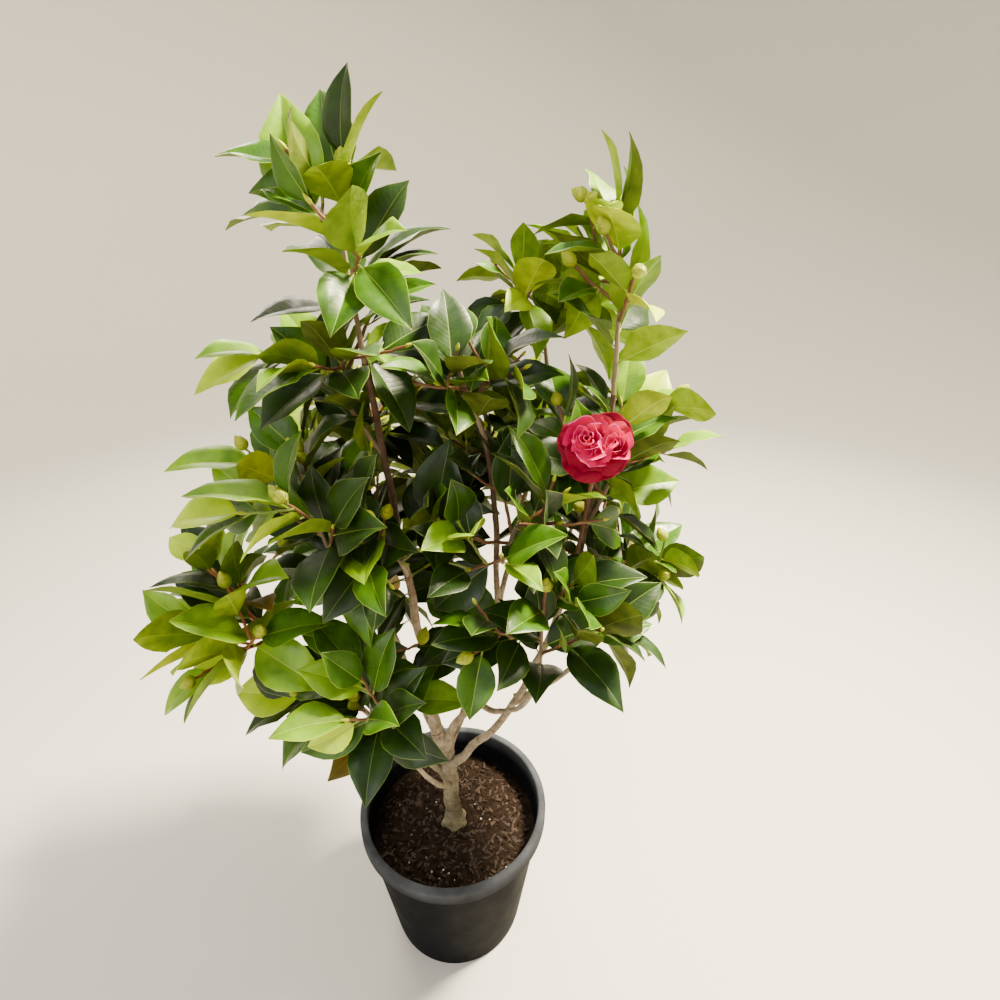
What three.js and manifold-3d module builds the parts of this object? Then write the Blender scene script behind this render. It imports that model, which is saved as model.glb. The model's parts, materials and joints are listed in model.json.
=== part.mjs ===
// Potted camellia shrub: several stems from one trunk, glossy leaves in growth flushes,
// clustered flower buds and one open double bloom, standing in a round nursery pot.
// Millimetres, +Z up. The origin is the centre of the pot's flat underside.
// +X is to the right and +Y away when the shrub is seen from its front.

import * as THREE from 'three';
import { mergeVertices } from 'three/addons/utils/BufferGeometryUtils.js';
import Module from 'manifold-3d';

const wasm = await Module();
wasm.setup();

// Pot and soil
const POT_HEIGHT = 285;
const POT_RIM_RADIUS = 160;
const POT_FOOT_RADIUS = 118;
const POT_WALL = 4;
const POT_SIDES = 30;
const FOOT_BEVEL = 4;
const RIM_BAND_HEIGHT = 26;
const RIM_OVERHANG = 9;
const RIM_ROUND = 5;
const RIM_LIP = 3;
const DRAIN_HOLES = 6;
const DRAIN_HOLE_RADIUS = 7;
const DRAIN_HOLE_SIDES = 10;
const DRAIN_CIRCLE_RADIUS = 84;
const SOIL_LEVEL = 230;
const SOIL_MOUND_RADIUS = 62;
const SOIL_FALL = 7;

// Clearance between solids that touch on the plant
const GAP = 0.3;

// Stems and boughs, each one tapering limb on a curve with one bend. In turn: its name, the limb
// that it leaves and the share of that limb's length, where it bends, where it ends, and its
// radius at its foot and its tip. The trunk stands on the soil.
const LIMBS = [
  ['trunk', null, 0, [0, 2, 340], [-21, 3, 450], 14.5, 11.5],
  ['stem_left', 'trunk', 1, [-40, 5, 690], [-62, -58, 1062], 11, 4.2],
  ['stem_middle', 'trunk', 0.84, [112, -22, 640], [64, -40, 968], 8.5, 3.8],
  ['stem_right', 'trunk', 0.62, [172, -22, 540], [214, -8, 1012], 9.2, 4],
  ['stem_rear', 'trunk', 0.74, [95, 130, 590], [150, 150, 985], 8.4, 3.8],
  ['bough_left', 'stem_left', 0.1, [-125, -62, 620], [-108, -88, 800], 6.8, 3.8],
  ['bough_low_left', 'trunk', 0.5, [-95, -60, 520], [-165, -95, 690], 6, 3.6],
  ['bough_low_front', 'trunk', 0.4, [-20, -95, 430], [-58, -122, 575], 5.8, 3.6],
  ['bough_front', 'stem_middle', 0.25, [105, -100, 560], [132, -112, 672], 5.6, 3.4],
  ['bough_right', 'stem_right', 0.36, [205, 10, 560], [238, 0, 672], 5.4, 3.4],
  ['bough_rear_left', 'trunk', 0.86, [-112, 105, 560], [-130, 110, 810], 6.4, 3.6],
  ['bough_rear', 'stem_rear', 0.2, [-5, 160, 540], [0, 178, 700], 5.6, 3.4],
  ['bough_rear_right', 'stem_rear', 0.4, [175, 130, 650], [200, 140, 770], 5.2, 3.4],
];
const TRUNK_SIDES = 12;
const STEM_SIDES = 8;
const BOUGH_SIDES = 6;
const LIMB_STEP = 72;
const ROOT_FLARE = 8;
const ROOT_FLARE_HEIGHT = 26;
const FLARE_RING = 0.45;

// Masses of foliage, in the order in which they grow. In turn: where the mass is, the limb that
// it grows from and the share of that limb's length, the middle and the half sizes of the
// ellipsoid that it keeps to, the seed of its growth, and the flower buds at its leading tip.
const MASSES = [
  ['top_left', 'stem_left', 1, [-66, -76, 1172], [118, 112, 148], 1898, 0],
  ['top_right', 'stem_right', 1, [214, 0, 1140], [112, 112, 146], 965, 0],
  ['middle', 'stem_middle', 0.72, [95, -75, 862], [155, 147, 145], 1, 0],
  ['left', 'bough_left', 1, [-135, -82, 905], [160, 150, 145], 14, 5],
  ['low_left', 'bough_low_left', 1, [-218, -100, 755], [165, 155, 147], 50, 0],
  ['low_front', 'bough_low_front', 1, [-85, -140, 645], [165, 140, 165], 31, 4],
  ['front', 'bough_front', 1, [130, -125, 760], [160, 135, 150], 21, 0],
  ['right', 'bough_right', 1, [215, -5, 755], [157, 155, 147], 67, 0],
  ['inner_left', 'stem_left', 0.55, [-50, -60, 850], [155, 150, 145], 33, 0],
  ['top_middle', 'stem_middle', 1, [48, -48, 1020], [135, 130, 118], 57, 0],
  ['collar_left', 'stem_left', 0.84, [-85, -52, 1015], [173, 157, 137], 12, 0],
  ['collar_right', 'stem_right', 0.8, [225, -20, 930], [163, 155, 147], 72, 0],
  ['rear_top', 'stem_rear', 1, [140, 140, 1068], [150, 147, 140], 38, 0],
  ['rear_right', 'bough_rear_right', 1, [198, 140, 832], [160, 155, 153], 8, 0],
  ['rear_inner', 'stem_rear', 0.75, [50, 150, 900], [165, 157, 145], 90, 0],
  ['rear_left', 'bough_rear_left', 1, [-130, 110, 900], [170, 163, 153], 32, 0],
  ['rear', 'bough_rear', 1, [5, 180, 742], [170, 150, 147], 17, 0],
  ['low_rear', 'bough_rear_left', 0.55, [-130, 80, 692], [170, 155, 137], 33, 0],
];

// Growth of the shoots. A shoot is one flush of growth, bent upwards at its middle. Its tip bears
// the next flush, and its outer half the side shoots, set round it in a spiral.
const FLUSH_LENGTH = 86;
const FLUSH_RANGE = [0.85, 1.15];
const FIRST_ORDER_LENGTH = 1.1;
const SIDE_ORDER_LENGTH = 0.85;
const SHORTENED = [1, 0.8, 0.62];
const SHOOT_ORDERS = 3;
const SHOOTS_PER_MASS = 6;
const SHOOT_RISE = 0.16;
const SHOOT_RADII = [3.4, 2.6, 2.1];
const SHOOT_TAPER = 0.15;
const LEADER_BEND = [8, 20];
const SIDE_SHOOTS = 3;
const SIDE_SHOOT_TOP = 0.96;
const SIDE_SHOOT_STEP = 0.22;
const SIDE_SHOOT_ANGLE = [48, 64];
const SIDE_SHOOT_TURN = 137.5;
const SIDE_SHOOT_SCATTER = 30;
const STEEPEST_FALL = -0.15;

// Leaves: crowded and steep at the tip of a shoot, wider apart and more level below it. Each
// stands off its shoot by its stalk, droops by its own amount and turns its face to the light.
const LEAF_LENGTH = 83;
const LEAF_RANGE = [0.84, 1.14];
const TIP_LEAF_LENGTH = 0.9;
const LEAF_HALF_WIDTH = 0.27;
const LEAF_WIDTH_RANGE = [0.92, 1.12];
const LEAF_THICKNESS = 0.02;
const LEAF_FOLD = [0.22, 0.42];
const LEAF_CURL = [0.08, 0.2];
const PETIOLE = 9;
const ROOT_HALF_THICKNESS = 0.8;
const LEAVES_PER_SHOOT = [4, 6];
const LEAFY_SHARE = 0.66;
const CROWDING = 1.1;
const LEAF_TURN = 144;
const LEAF_TURN_SCATTER = 24;
const LEAF_SPREAD = [16, 60];
const SPREAD_REACHED_AT = 3.5;
const SPREAD_SCATTER = 20;
const LEAF_DROOP = 0.26;
const LEAST_DROOP = 0.2;
const FACING_AXIS = 0.35;
const FACING_UP = 0.6;
const FACING_OUT = 0.5;
// A leaf that finds no room is turned about its shoot, in degrees, or laid closer along it
const LEAF_SHIFTS = [
  [0, 1],
  [36, 1],
  [-36, 1],
  [0, 0.6],
  [60, 0.8],
  [-60, 0.8],
];

// Flower buds: the profile is radius and height as shares of a bud's radius and length
const BUD_LENGTH = 17;
const BUD_RANGE = [0.85, 1.15];
const BUD_RADIUS = 6.5;
const BUD_SIDES = 5;
const BUD_PROFILE = [
  [0, 0],
  [0.95, 0.36],
  [0.72, 0.72],
  [0, 1],
];
const BUD_COUNTS = [0, 0, 0, 0, 1, 1, 2];
const BUD_STEP = 0.05;
const BUD_LEAN = [38, 60];
const LONE_BUD_LEAN = [0, 14];
const BUD_TURN = [72, 140];
const BUD_SINK = 1.6;
const BUD_SPACING = 11;

// Room kept round the leaves and shoots
const LEAF_CLEARANCE = 7;
const LEAF_GAP = 3;
const BLADE_MARGIN = 0.02;
const MASS_CLEARANCE = 1;
const SHOOT_INSET = 72;
const SHOOT_SPACING = 50;
const SHOOT_CLEARANCE = 2;

// The open bloom, on a twig of its own
const BLOOM_RADIUS = 43;
const BLOOM_CENTRE = [182, -104, 985];
const BLOOM_FACING = [-0.25, -0.78, 0.58];
const BLOOM_ON = 'stem_right';
const BLOOM_AT = 0.72;
const BLOOM_CORE_RADIUS = 24;
const BLOOM_CORE_SIDES = [8, 5];
const BLOOM_TWIG_RADIUS = 3.2;
const BLOOM_TWIG_END = 12;
const PETAL_ROOT = 12;
const PETAL_FOLD = 0.25;
const PETAL_CUP = 0.15;
// Rings of petals: how many, angle from the facing direction, length and half width
const PETAL_RINGS = [
  { count: 7, lean: 88, length: 34, width: 18 },
  { count: 5, lean: 52, length: 30, width: 17 },
];

// Colours
const BARK = 0xa08a6c;
const LEAF_GREEN = 0x2f5a16;
const PETAL_RED = 0xd01a3e;
const POT_BLACK = 0x26272a;
const SOIL_BROWN = 0x3a2a1e;

const UP = new THREE.Vector3(0, 0, 1);
const vector = (a) => new THREE.Vector3(a[0], a[1], a[2]);
const radians = THREE.MathUtils.degToRad;
const mix = THREE.MathUtils.lerp;
const between = ([low, high], share) => mix(low, high, share);

// A repeatable stream of numbers from 0 to 1
function randomStream(seed) {
  let state = seed * 7919 + 17;
  return () => {
    state = (state + 0x6d2b79f5) | 0;
    let t = Math.imul(state ^ (state >>> 15), 1 | state);
    t = (t + Math.imul(t ^ (t >>> 7), 61 | t)) ^ t;
    return ((t ^ (t >>> 14)) >>> 0) / 2 ** 32;
  };
}

// The streams of a mass: one for each shoot's growth, one for its leaves and one for its buds
const growthStream = (mass, number) => randomStream(1000 * mass.seed + number);
const leafStream = (mass, shoot) => randomStream(1000 * mass.seed + 400 + shoot.number);
const budStream = (mass, shoot) => randomStream(1000 * mass.seed + 800 + shoot.number);

// A closed geometry as a solid that can be joined and cut
function toSolid(geometry) {
  const bare = geometry.clone();
  bare.deleteAttribute('normal');
  bare.deleteAttribute('uv');
  const merged = mergeVertices(bare, 1e-4);
  const mesh = new wasm.Mesh({
    numProp: 3,
    vertProperties: new Float32Array(merged.attributes.position.array),
    triVerts: new Uint32Array(merged.index.array),
  });
  return new wasm.Manifold(mesh);
}

// The largest body of a joined or cut solid, without the loose scraps
function mainBody(solid) {
  const bodies = solid.decompose();
  return bodies.reduce((best, body) => (body.volume() > best.volume() ? body : best));
}

function toGeometry(solid) {
  const mesh = solid.getMesh();
  const geometry = new THREE.BufferGeometry();
  geometry.setAttribute('position', new THREE.Float32BufferAttribute(mesh.vertProperties, 3));
  geometry.setIndex(new THREE.Uint32BufferAttribute(mesh.triVerts, 1));
  return geometry;
}

// A closed body from its corners and its triangles
function facetedSolid(corners, triangles) {
  const geometry = new THREE.BufferGeometry();
  const places = corners.flatMap((p) => [p.x, p.y, p.z]);
  geometry.setAttribute('position', new THREE.Float32BufferAttribute(places, 3));
  geometry.setIndex(triangles.flat());
  return toSolid(geometry);
}

// A tube of changing radius through rings that stand square to its path, with flat ends
function taperedTube(points, tangents, radii, sides) {
  const corners = [];
  const triangles = [];
  let side = new THREE.Vector3(1, 0, 0);
  points.forEach((point, i) => {
    const along = tangents[i];
    side = side.clone().addScaledVector(along, -side.dot(along)).normalize();
    const other = along.clone().cross(side);
    for (let k = 0; k < sides; k++) {
      const angle = (2 * Math.PI * k) / sides;
      const corner = point.clone().addScaledVector(side, radii[i] * Math.cos(angle));
      corners.push(corner.addScaledVector(other, radii[i] * Math.sin(angle)));
    }
  });
  for (let i = 0; i + 1 < points.length; i++) {
    for (let k = 0; k < sides; k++) {
      const a = i * sides + k;
      const b = i * sides + ((k + 1) % sides);
      triangles.push([a, b, b + sides], [a, b + sides, a + sides]);
    }
  }
  const last = (points.length - 1) * sides;
  for (let k = 1; k + 1 < sides; k++) {
    triangles.push([0, k + 1, k], [last, last + k, last + k + 1]);
  }
  return facetedSolid(corners, triangles);
}

// A solid turned about its axis, from a profile of radii and heights, set along a direction
function turnedSolid(profile, sides, base, along) {
  const lathe = new THREE.LatheGeometry(profile.map(([r, z]) => new THREE.Vector2(r, z)), sides);
  lathe.applyQuaternion(new THREE.Quaternion().setFromUnitVectors(new THREE.Vector3(0, 1, 0), along));
  lathe.translate(base.x, base.y, base.z);
  return toSolid(lathe);
}

// Limbs: a path with one bend, and its tapering radius
const limbs = new Map();
for (const [name, on, at, by, to, footRadius, tipRadius] of LIMBS) {
  const parent = limbs.get(on);
  const from = parent ? parent.path.getPoint(at) : new THREE.Vector3(0, 0, SOIL_LEVEL);
  const path = new THREE.QuadraticBezierCurve3(from, vector(by), vector(to));
  const length = path.getLength();
  const count = Math.max(3, Math.round(length / LIMB_STEP));
  const shares = Array.from({ length: count + 1 }, (_, i) => i / count);
  const flareShare = ROOT_FLARE_HEIGHT / length;
  if (!parent) {
    shares.splice(1, 0, FLARE_RING * flareShare, flareShare);
  }
  const radii = shares.map((t) => {
    const flare = parent ? 0 : ROOT_FLARE * Math.max(0, 1 - t / flareShare) ** 2;
    return mix(footRadius, tipRadius, t) + flare;
  });
  const points = shares.map((t) => path.getPoint(t));
  const tangents = shares.map((t) => path.getTangent(t));
  if (!parent) {
    tangents[0].copy(UP);
  }
  const branchSides = name.startsWith('stem') ? STEM_SIDES : BOUGH_SIDES;
  const sides = parent ? branchSides : TRUNK_SIDES;
  limbs.set(name, { name, parent, at, path, points, tangents, radii, sides });
}

// A limb that goes on from its parent's tip starts GAP beyond it, and one that leaves its
// parent's side starts on the axis and is cut GAP clear of the parent's bark
function limbSolid(limb) {
  const points = limb.points.map((p) => p.clone());
  const tangents = [...limb.tangents];
  if (limb.parent && limb.at === 1) {
    points[0].addScaledVector(tangents[0], GAP);
    tangents[0] = limb.parent.tangents.at(-1);
  }
  const tube = taperedTube(points, tangents, limb.radii, limb.sides);
  return limb.parent && limb.at < 1 ? clearOf(tube, limb.parent) : tube;
}

function clearOf(solid, limb) {
  const radii = limb.radii.map((r) => r + GAP / Math.cos(Math.PI / limb.sides));
  return mainBody(solid.subtract(taperedTube(limb.points, limb.tangents, radii, limb.sides)));
}

// Whether a point is in the ellipsoid of a mass, at least "inset" within it
function isInside(mass, point, inset = 0) {
  const from = point.clone().sub(mass.middle);
  const [x, y, z] = mass.reach.map((size) => size - inset);
  return (from.x / x) ** 2 + (from.y / y) ** 2 + (from.z / z) ** 2 < 1;
}

// A leaf, bud or shoot fits in a box: its middle, three directions and half sizes. Two boxes
// are apart where some direction separates them by the clearance.
function areApart(a, b) {
  const way = b.middle.clone().sub(a.middle);
  const crossed = a.axes.flatMap((u) => b.axes.map((v) => u.clone().cross(v)));
  return [...a.axes, ...b.axes, ...crossed].some((direction) => {
    const size = direction.length();
    if (size < 1e-3) {
      return false;
    }
    const reach = [a, b].flatMap((box) => box.axes.map((u, k) => box.half[k] * Math.abs(u.dot(direction))));
    return Math.abs(way.dot(direction)) > reach.reduce((sum, r) => sum + r) + MASS_CLEARANCE * size;
  });
}

function isFree(box, filled) {
  const far = (other) => Math.hypot(...box.half) + Math.hypot(...other.half) + MASS_CLEARANCE;
  return filled.every((o) => box.middle.distanceTo(o.middle) > far(o) || areApart(box, o));
}

// The bloom's place, its twig's foot and the clear way in front of it
const bloomCentre = vector(BLOOM_CENTRE);
const bloomFacing = vector(BLOOM_FACING).normalize();
const bloomFoot = limbs.get(BLOOM_ON).path.getPoint(BLOOM_AT);
const bloomBack = bloomCentre.clone().addScaledVector(bloomFacing, -BLOOM_TWIG_END);
const bloomView = bloomCentre.clone().addScaledVector(bloomFacing, 2 * BLOOM_RADIUS);

function distanceToSegment(point, a, b) {
  const along = b.clone().sub(a);
  const share = THREE.MathUtils.clamp(point.clone().sub(a).dot(along) / along.lengthSq(), 0, 1);
  return { share, far: point.distanceTo(a.clone().addScaledVector(along, share)) };
}

// How far a point lies from the bloom and from the nearest limb's bark
function roomFromLimbs(point, skipped) {
  let room = Math.min(
    distanceToSegment(point, bloomCentre, bloomView).far - BLOOM_RADIUS,
    distanceToSegment(point, bloomFoot, bloomBack).far - BLOOM_TWIG_RADIUS,
  );
  for (const limb of limbs.values()) {
    if (limb === skipped) {
      continue;
    }
    for (let i = 0; i + 1 < limb.points.length; i++) {
      const { share, far } = distanceToSegment(point, limb.points[i], limb.points[i + 1]);
      room = Math.min(room, far - mix(limb.radii[i], limb.radii[i + 1], share));
    }
  }
  return room;
}

// A shoot rises off its heading by half its share of the rise up to its middle, and faster beyond
function shootPoint(shoot, share) {
  const rise = share < 0.5 ? share / 2 : 1.5 * share - 0.5;
  const point = shoot.start.clone().addScaledVector(shoot.heading, shoot.length * share);
  return point.addScaledVector(UP, SHOOT_RISE * shoot.length * rise);
}

function shootTangent(shoot, share) {
  return shoot.heading.clone().addScaledVector(UP, 2 * SHOOT_RISE * share).normalize();
}

// A direction at an angle to an axis, turned about it
function turnedFrom(axis, angle, turn) {
  const level = Math.abs(axis.z) > 0.95 ? new THREE.Vector3(1, 0, 0) : UP;
  const side = level.clone().cross(axis).normalize();
  const other = axis.clone().cross(side);
  const out = side.multiplyScalar(Math.cos(turn)).addScaledVector(other, Math.sin(turn));
  return axis.clone().multiplyScalar(Math.cos(angle)).addScaledVector(out, Math.sin(angle));
}

// The box round some points, along the given directions
function boxAround(points, axes, margin) {
  const middle = new THREE.Vector3();
  const half = axes.map((axis) => {
    const places = points.map((p) => p.dot(axis));
    const low = Math.min(...places);
    const high = Math.max(...places);
    middle.addScaledVector(axis, (low + high) / 2);
    return (high - low) / 2 + margin;
  });
  return { middle, axes, half };
}

const SHOOT_SHARES = [0, 0.5, 1];
const ROOM_SHARES = [0.4, 0.6, 0.8, 1];

function shootBox(shoot) {
  const along = shootTangent(shoot, 0.5);
  const side = turnedFrom(along, Math.PI / 2, 0);
  const points = SHOOT_SHARES.map((share) => shootPoint(shoot, share));
  return boxAround(points, [along, side, along.clone().cross(side)], SHOOT_RADII[0]);
}

// Whether a shoot stays in its mass, off the limbs, apart from other tips and clear of the rest
function shootFits(mass, shoot, shoots, filled) {
  const end = shootPoint(shoot, 1);
  const first = shoot.order === 0 && shoot.flush === 0;
  const limb = first ? limbs.get(mass.on) : null;
  return (
    isInside(mass, end, SHOOT_INSET) &&
    ROOM_SHARES.every((s) => roomFromLimbs(shootPoint(shoot, s), limb) > LEAF_CLEARANCE) &&
    shoots.every((o) => o === shoot.parent || shootPoint(o, 1).distanceTo(end) > SHOOT_SPACING) &&
    isFree(shootBox(shoot), filled)
  );
}

// Shoots of a mass, by a seeded rule from its one stem
function growShoots(mass, filled) {
  const foot = limbs.get(mass.on).path.getPoint(mass.at);
  const aim = mass.middle.clone().sub(foot);
  aim.z -= SHOOT_RISE * aim.length();
  const queue = [{ start: foot, heading: aim.normalize(), order: 0, flush: 0, parent: null }];
  const shoots = [];
  for (let number = 0; queue.length && shoots.length < SHOOTS_PER_MASS; number++) {
    const shoot = { ...queue.shift(), number };
    const draws = Array.from({ length: 8 }, growthStream(mass, number));
    const orderLength = shoot.order ? SIDE_ORDER_LENGTH : FIRST_ORDER_LENGTH;
    const wanted = FLUSH_LENGTH * between(FLUSH_RANGE, draws[0]) * orderLength;
    const part = SHORTENED.find((p) => shootFits(mass, { ...shoot, length: wanted * p }, shoots, filled));
    if (!part) {
      continue;
    }
    shoot.length = wanted * part;
    shoot.turn = 360 * draws[1];
    shoots.push(shoot);
    if (shoot.order + shoot.flush >= SHOOT_ORDERS) {
      continue;
    }
    const bend = radians(between(LEADER_BEND, draws[2]));
    queue.push({
      start: shootPoint(shoot, 1),
      heading: turnedFrom(shootTangent(shoot, 1), bend, radians(360 * draws[3])),
      order: shoot.order,
      flush: shoot.flush + 1,
      parent: shoot,
    });
    for (let k = 0; k < SIDE_SHOOTS; k++) {
      const share = SIDE_SHOOT_TOP - SIDE_SHOOT_STEP * k;
      const angle = radians(between(SIDE_SHOOT_ANGLE, draws[4 + k]));
      const turn = radians(shoot.turn + SIDE_SHOOT_TURN * (k + 1) + SIDE_SHOOT_SCATTER * draws[7]);
      const heading = turnedFrom(shootTangent(shoot, share), angle, turn);
      heading.z = Math.max(heading.z, STEEPEST_FALL);
      queue.push({
        start: shootPoint(shoot, share),
        heading: heading.normalize(),
        order: shoot.order + 1,
        flush: 0,
        parent: shoot,
      });
    }
  }
  return shoots;
}

// Height of a blade above its flat plane: folded up along the midrib, curled down to the tip
function bladeHeight(leaf, along, across) {
  return leaf.fold * Math.abs(across) * leaf.length - leaf.curl * along * along * leaf.length;
}

// An oval outline with its widest place a little below the middle and a pointed tip
function bladeHalfWidth(leaf, along) {
  const share = THREE.MathUtils.clamp(along, 0, 1);
  return leaf.width * Math.sin(Math.PI * share ** 0.86) ** 0.72;
}

function bladePoint(leaf, along, across, lift = 0) {
  const height = bladeHeight(leaf, along, across) + lift;
  return leaf.base
    .clone()
    .addScaledVector(leaf.along, along * leaf.length)
    .addScaledVector(leaf.side, across * leaf.length)
    .addScaledVector(leaf.top, height);
}

// A grid of places on a blade, as shares of its length and its half width, and its edges
const GRID_ROWS = 7;
const GRID_COLUMNS = [-1, -0.5, 0, 0.5, 1];
const GRID = Array.from({ length: GRID_ROWS + 1 }, (_, i) => i / GRID_ROWS).flatMap((along) =>
  GRID_COLUMNS.map((across) => [along, across]),
);
const GRID_EDGES = GRID.flatMap((_, n) => [
  ...((n + 1) % GRID_COLUMNS.length ? [[n, n + 1]] : []),
  ...(n + GRID_COLUMNS.length < GRID.length ? [[n, n + GRID_COLUMNS.length]] : []),
]);
const BLADE_FROM = 0.06;
const OUTER_BLADE_FROM = 0.25;

// Whether a leaf's grid of points passes through another leaf's blade
function cutsThrough(points, leaf) {
  const local = points.map((p) => {
    const from = p.clone().sub(leaf.base).divideScalar(leaf.length);
    const along = from.dot(leaf.along);
    const across = from.dot(leaf.side);
    const above = from.dot(leaf.top) * leaf.length - bladeHeight(leaf, along, across);
    return { along, across, above };
  });
  return GRID_EDGES.some(([a, b]) => {
    const p = local[a];
    const q = local[b];
    if (p.above * q.above > 0 && Math.min(Math.abs(p.above), Math.abs(q.above)) > LEAF_GAP) {
      return false;
    }
    const share = THREE.MathUtils.clamp(p.above / (p.above - q.above + 1e-9), 0, 1);
    const along = mix(p.along, q.along, share);
    const across = mix(p.across, q.across, share);
    const onBlade = along > BLADE_FROM && along < 1 + BLADE_MARGIN;
    return onBlade && Math.abs(across) < bladeHalfWidth(leaf, along) + BLADE_MARGIN;
  });
}

// Whether a leaf's outer points run into another shoot of its mass
function meetsShoot(leaf, shoots) {
  const outer = leaf.points.filter((_, n) => GRID[n][0] > OUTER_BLADE_FROM);
  const near = SHOOT_RADII[0] + SHOOT_CLEARANCE;
  return shoots.some((shoot) => {
    const tip = shootPoint(shoot, 1);
    return shoot !== leaf.shoot && outer.some((p) => distanceToSegment(p, shoot.start, tip).far < near);
  });
}

function leafFits(mass, leaf, leaves, shoots, filled) {
  return (
    leaf.points.every((p) => isInside(mass, p) && roomFromLimbs(p) > LEAF_CLEARANCE) &&
    leaves.every((o) => !cutsThrough(leaf.points, o) && !cutsThrough(o.points, leaf)) &&
    !meetsShoot(leaf, shoots) &&
    isFree(leaf.box, filled)
  );
}

// The leaf number k of a shoot with "count" leaves, turned by "shift" and laid "closer" along it
function leafOn(shoot, mass, k, count, draws, shift, closer) {
  const share = 1 - LEAFY_SHARE * (k / count) ** CROWDING;
  const axis = shootTangent(shoot, share);
  const opened = between(LEAF_SPREAD, Math.min(1, k / SPREAD_REACHED_AT));
  const spread = opened + SPREAD_SCATTER * (draws[0] - 0.5);
  const turn = shoot.turn + LEAF_TURN * k + LEAF_TURN_SCATTER * (draws[2] - 0.5) + shift;
  const along = turnedFrom(axis, radians(spread * closer), radians(turn));
  along.z -= LEAF_DROOP * (LEAST_DROOP + draws[3] ** 3);
  along.normalize();
  const top = axis.clone().multiplyScalar(FACING_AXIS).addScaledVector(UP, FACING_UP);
  top.addScaledVector(mass.middle.clone().setZ(0).normalize(), FACING_OUT);
  top.addScaledVector(along, -top.dot(along)).normalize();
  const leaf = {
    shoot,
    along,
    top,
    side: top.clone().cross(along),
    base: shootPoint(shoot, share).addScaledVector(along, PETIOLE),
    length: LEAF_LENGTH * between(LEAF_RANGE, draws[1]) * (k ? 1 : TIP_LEAF_LENGTH),
    width: LEAF_HALF_WIDTH * between(LEAF_WIDTH_RANGE, draws[4]),
    fold: between(LEAF_FOLD, draws[0]),
    curl: between(LEAF_CURL, draws[3]),
  };
  leaf.points = GRID.map(([s, w]) => bladePoint(leaf, s, w * bladeHalfWidth(leaf, s)));
  leaf.box = boxAround(leaf.points, [leaf.along, leaf.side, leaf.top], MASS_CLEARANCE);
  return leaf;
}

// Leaves of a mass: spirally set on the outer part of each shoot
function growLeaves(mass, filled) {
  const leaves = [];
  for (const shoot of mass.shoots) {
    const random = leafStream(mass, shoot);
    const count = Math.floor(between(LEAVES_PER_SHOOT, random()));
    for (let k = 0; k < count; k++) {
      const draws = Array.from({ length: 5 }, random);
      for (const [shift, closer] of LEAF_SHIFTS) {
        const leaf = leafOn(shoot, mass, k, count, draws, shift, closer);
        if (leafFits(mass, leaf, leaves, mass.shoots, filled)) {
          leaves.push(leaf);
          break;
        }
      }
    }
  }
  return leaves;
}

// Flower buds: plump and pointed, singly or in a cluster about a shoot's tip
function growBuds(mass, filled) {
  const buds = [];
  for (const shoot of mass.shoots) {
    const random = budStream(mass, shoot);
    const drawn = BUD_COUNTS[Math.floor(BUD_COUNTS.length * random())];
    const leading = shoot.order === 0 && !mass.shoots.some((o) => o.parent === shoot && o.order === 0);
    const count = (leading && mass.cluster) || drawn;
    for (let k = 0; k < count; k++) {
      const draws = Array.from({ length: 3 }, random);
      const share = 1 - BUD_STEP * k;
      const length = BUD_LENGTH * between(BUD_RANGE, draws[0]);
      const lean = radians(between(count > 1 ? BUD_LEAN : LONE_BUD_LEAN, draws[1]));
      const turn = radians(shoot.turn + BUD_TURN[0] + BUD_TURN[1] * k);
      const along = turnedFrom(shootTangent(shoot, share), lean, turn);
      const base = shootPoint(shoot, share).addScaledVector(along, -BUD_SINK);
      const middle = base.clone().addScaledVector(along, length / 2);
      const side = turnedFrom(along, Math.PI / 2, 0);
      const axes = [along, side, along.clone().cross(side)];
      const box = { middle, axes, half: [length / 2, BUD_RADIUS, BUD_RADIUS] };
      const clear =
        isInside(mass, middle) &&
        roomFromLimbs(middle) > LEAF_CLEARANCE + BUD_RADIUS &&
        isFree(box, filled) &&
        buds.every((o) => o.box.middle.distanceTo(middle) > BUD_SPACING) &&
        mass.leaves.every((leaf) => leaf.points.every((p) => p.distanceTo(middle) > BUD_RADIUS));
      if (clear) {
        buds.push({ shoot, base, along, length, box });
      }
    }
  }
  return buds;
}

// One leaf: a folded blade with its stalk, in fourteen faces. Its rim runs from the shoulders at
// both sides past the widest place to the tip, and its root is sunk to the shoot's axis.
const SHOULDER = { along: 0.27, across: 0.97 };
const WAIST = { along: 0.66, across: 0.92 };
const RIDGE_AT = 0.45;

function leafSolid(leaf) {
  const half = (LEAF_THICKNESS * leaf.length) / 2;
  const root = -PETIOLE / leaf.length;
  const corners = [
    bladePoint(leaf, root, 0, ROOT_HALF_THICKNESS),
    bladePoint(leaf, root, 0, -ROOT_HALF_THICKNESS),
    bladePoint(leaf, SHOULDER.along, SHOULDER.across * leaf.width),
    bladePoint(leaf, WAIST.along, WAIST.across * leaf.width),
    bladePoint(leaf, 1, 0),
    bladePoint(leaf, WAIST.along, -WAIST.across * leaf.width),
    bladePoint(leaf, SHOULDER.along, -SHOULDER.across * leaf.width),
    bladePoint(leaf, RIDGE_AT, 0, half),
    bladePoint(leaf, RIDGE_AT, 0, -half),
  ];
  const triangles = [
    [0, 7, 2],
    [0, 6, 7],
    [1, 2, 8],
    [1, 8, 6],
    [0, 2, 1],
    [0, 1, 6],
  ];
  for (let k = 2; k < 6; k++) {
    triangles.push([k, 7, k + 1], [k, k + 1, 8]);
  }
  return facetedSolid(corners, triangles);
}

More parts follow.
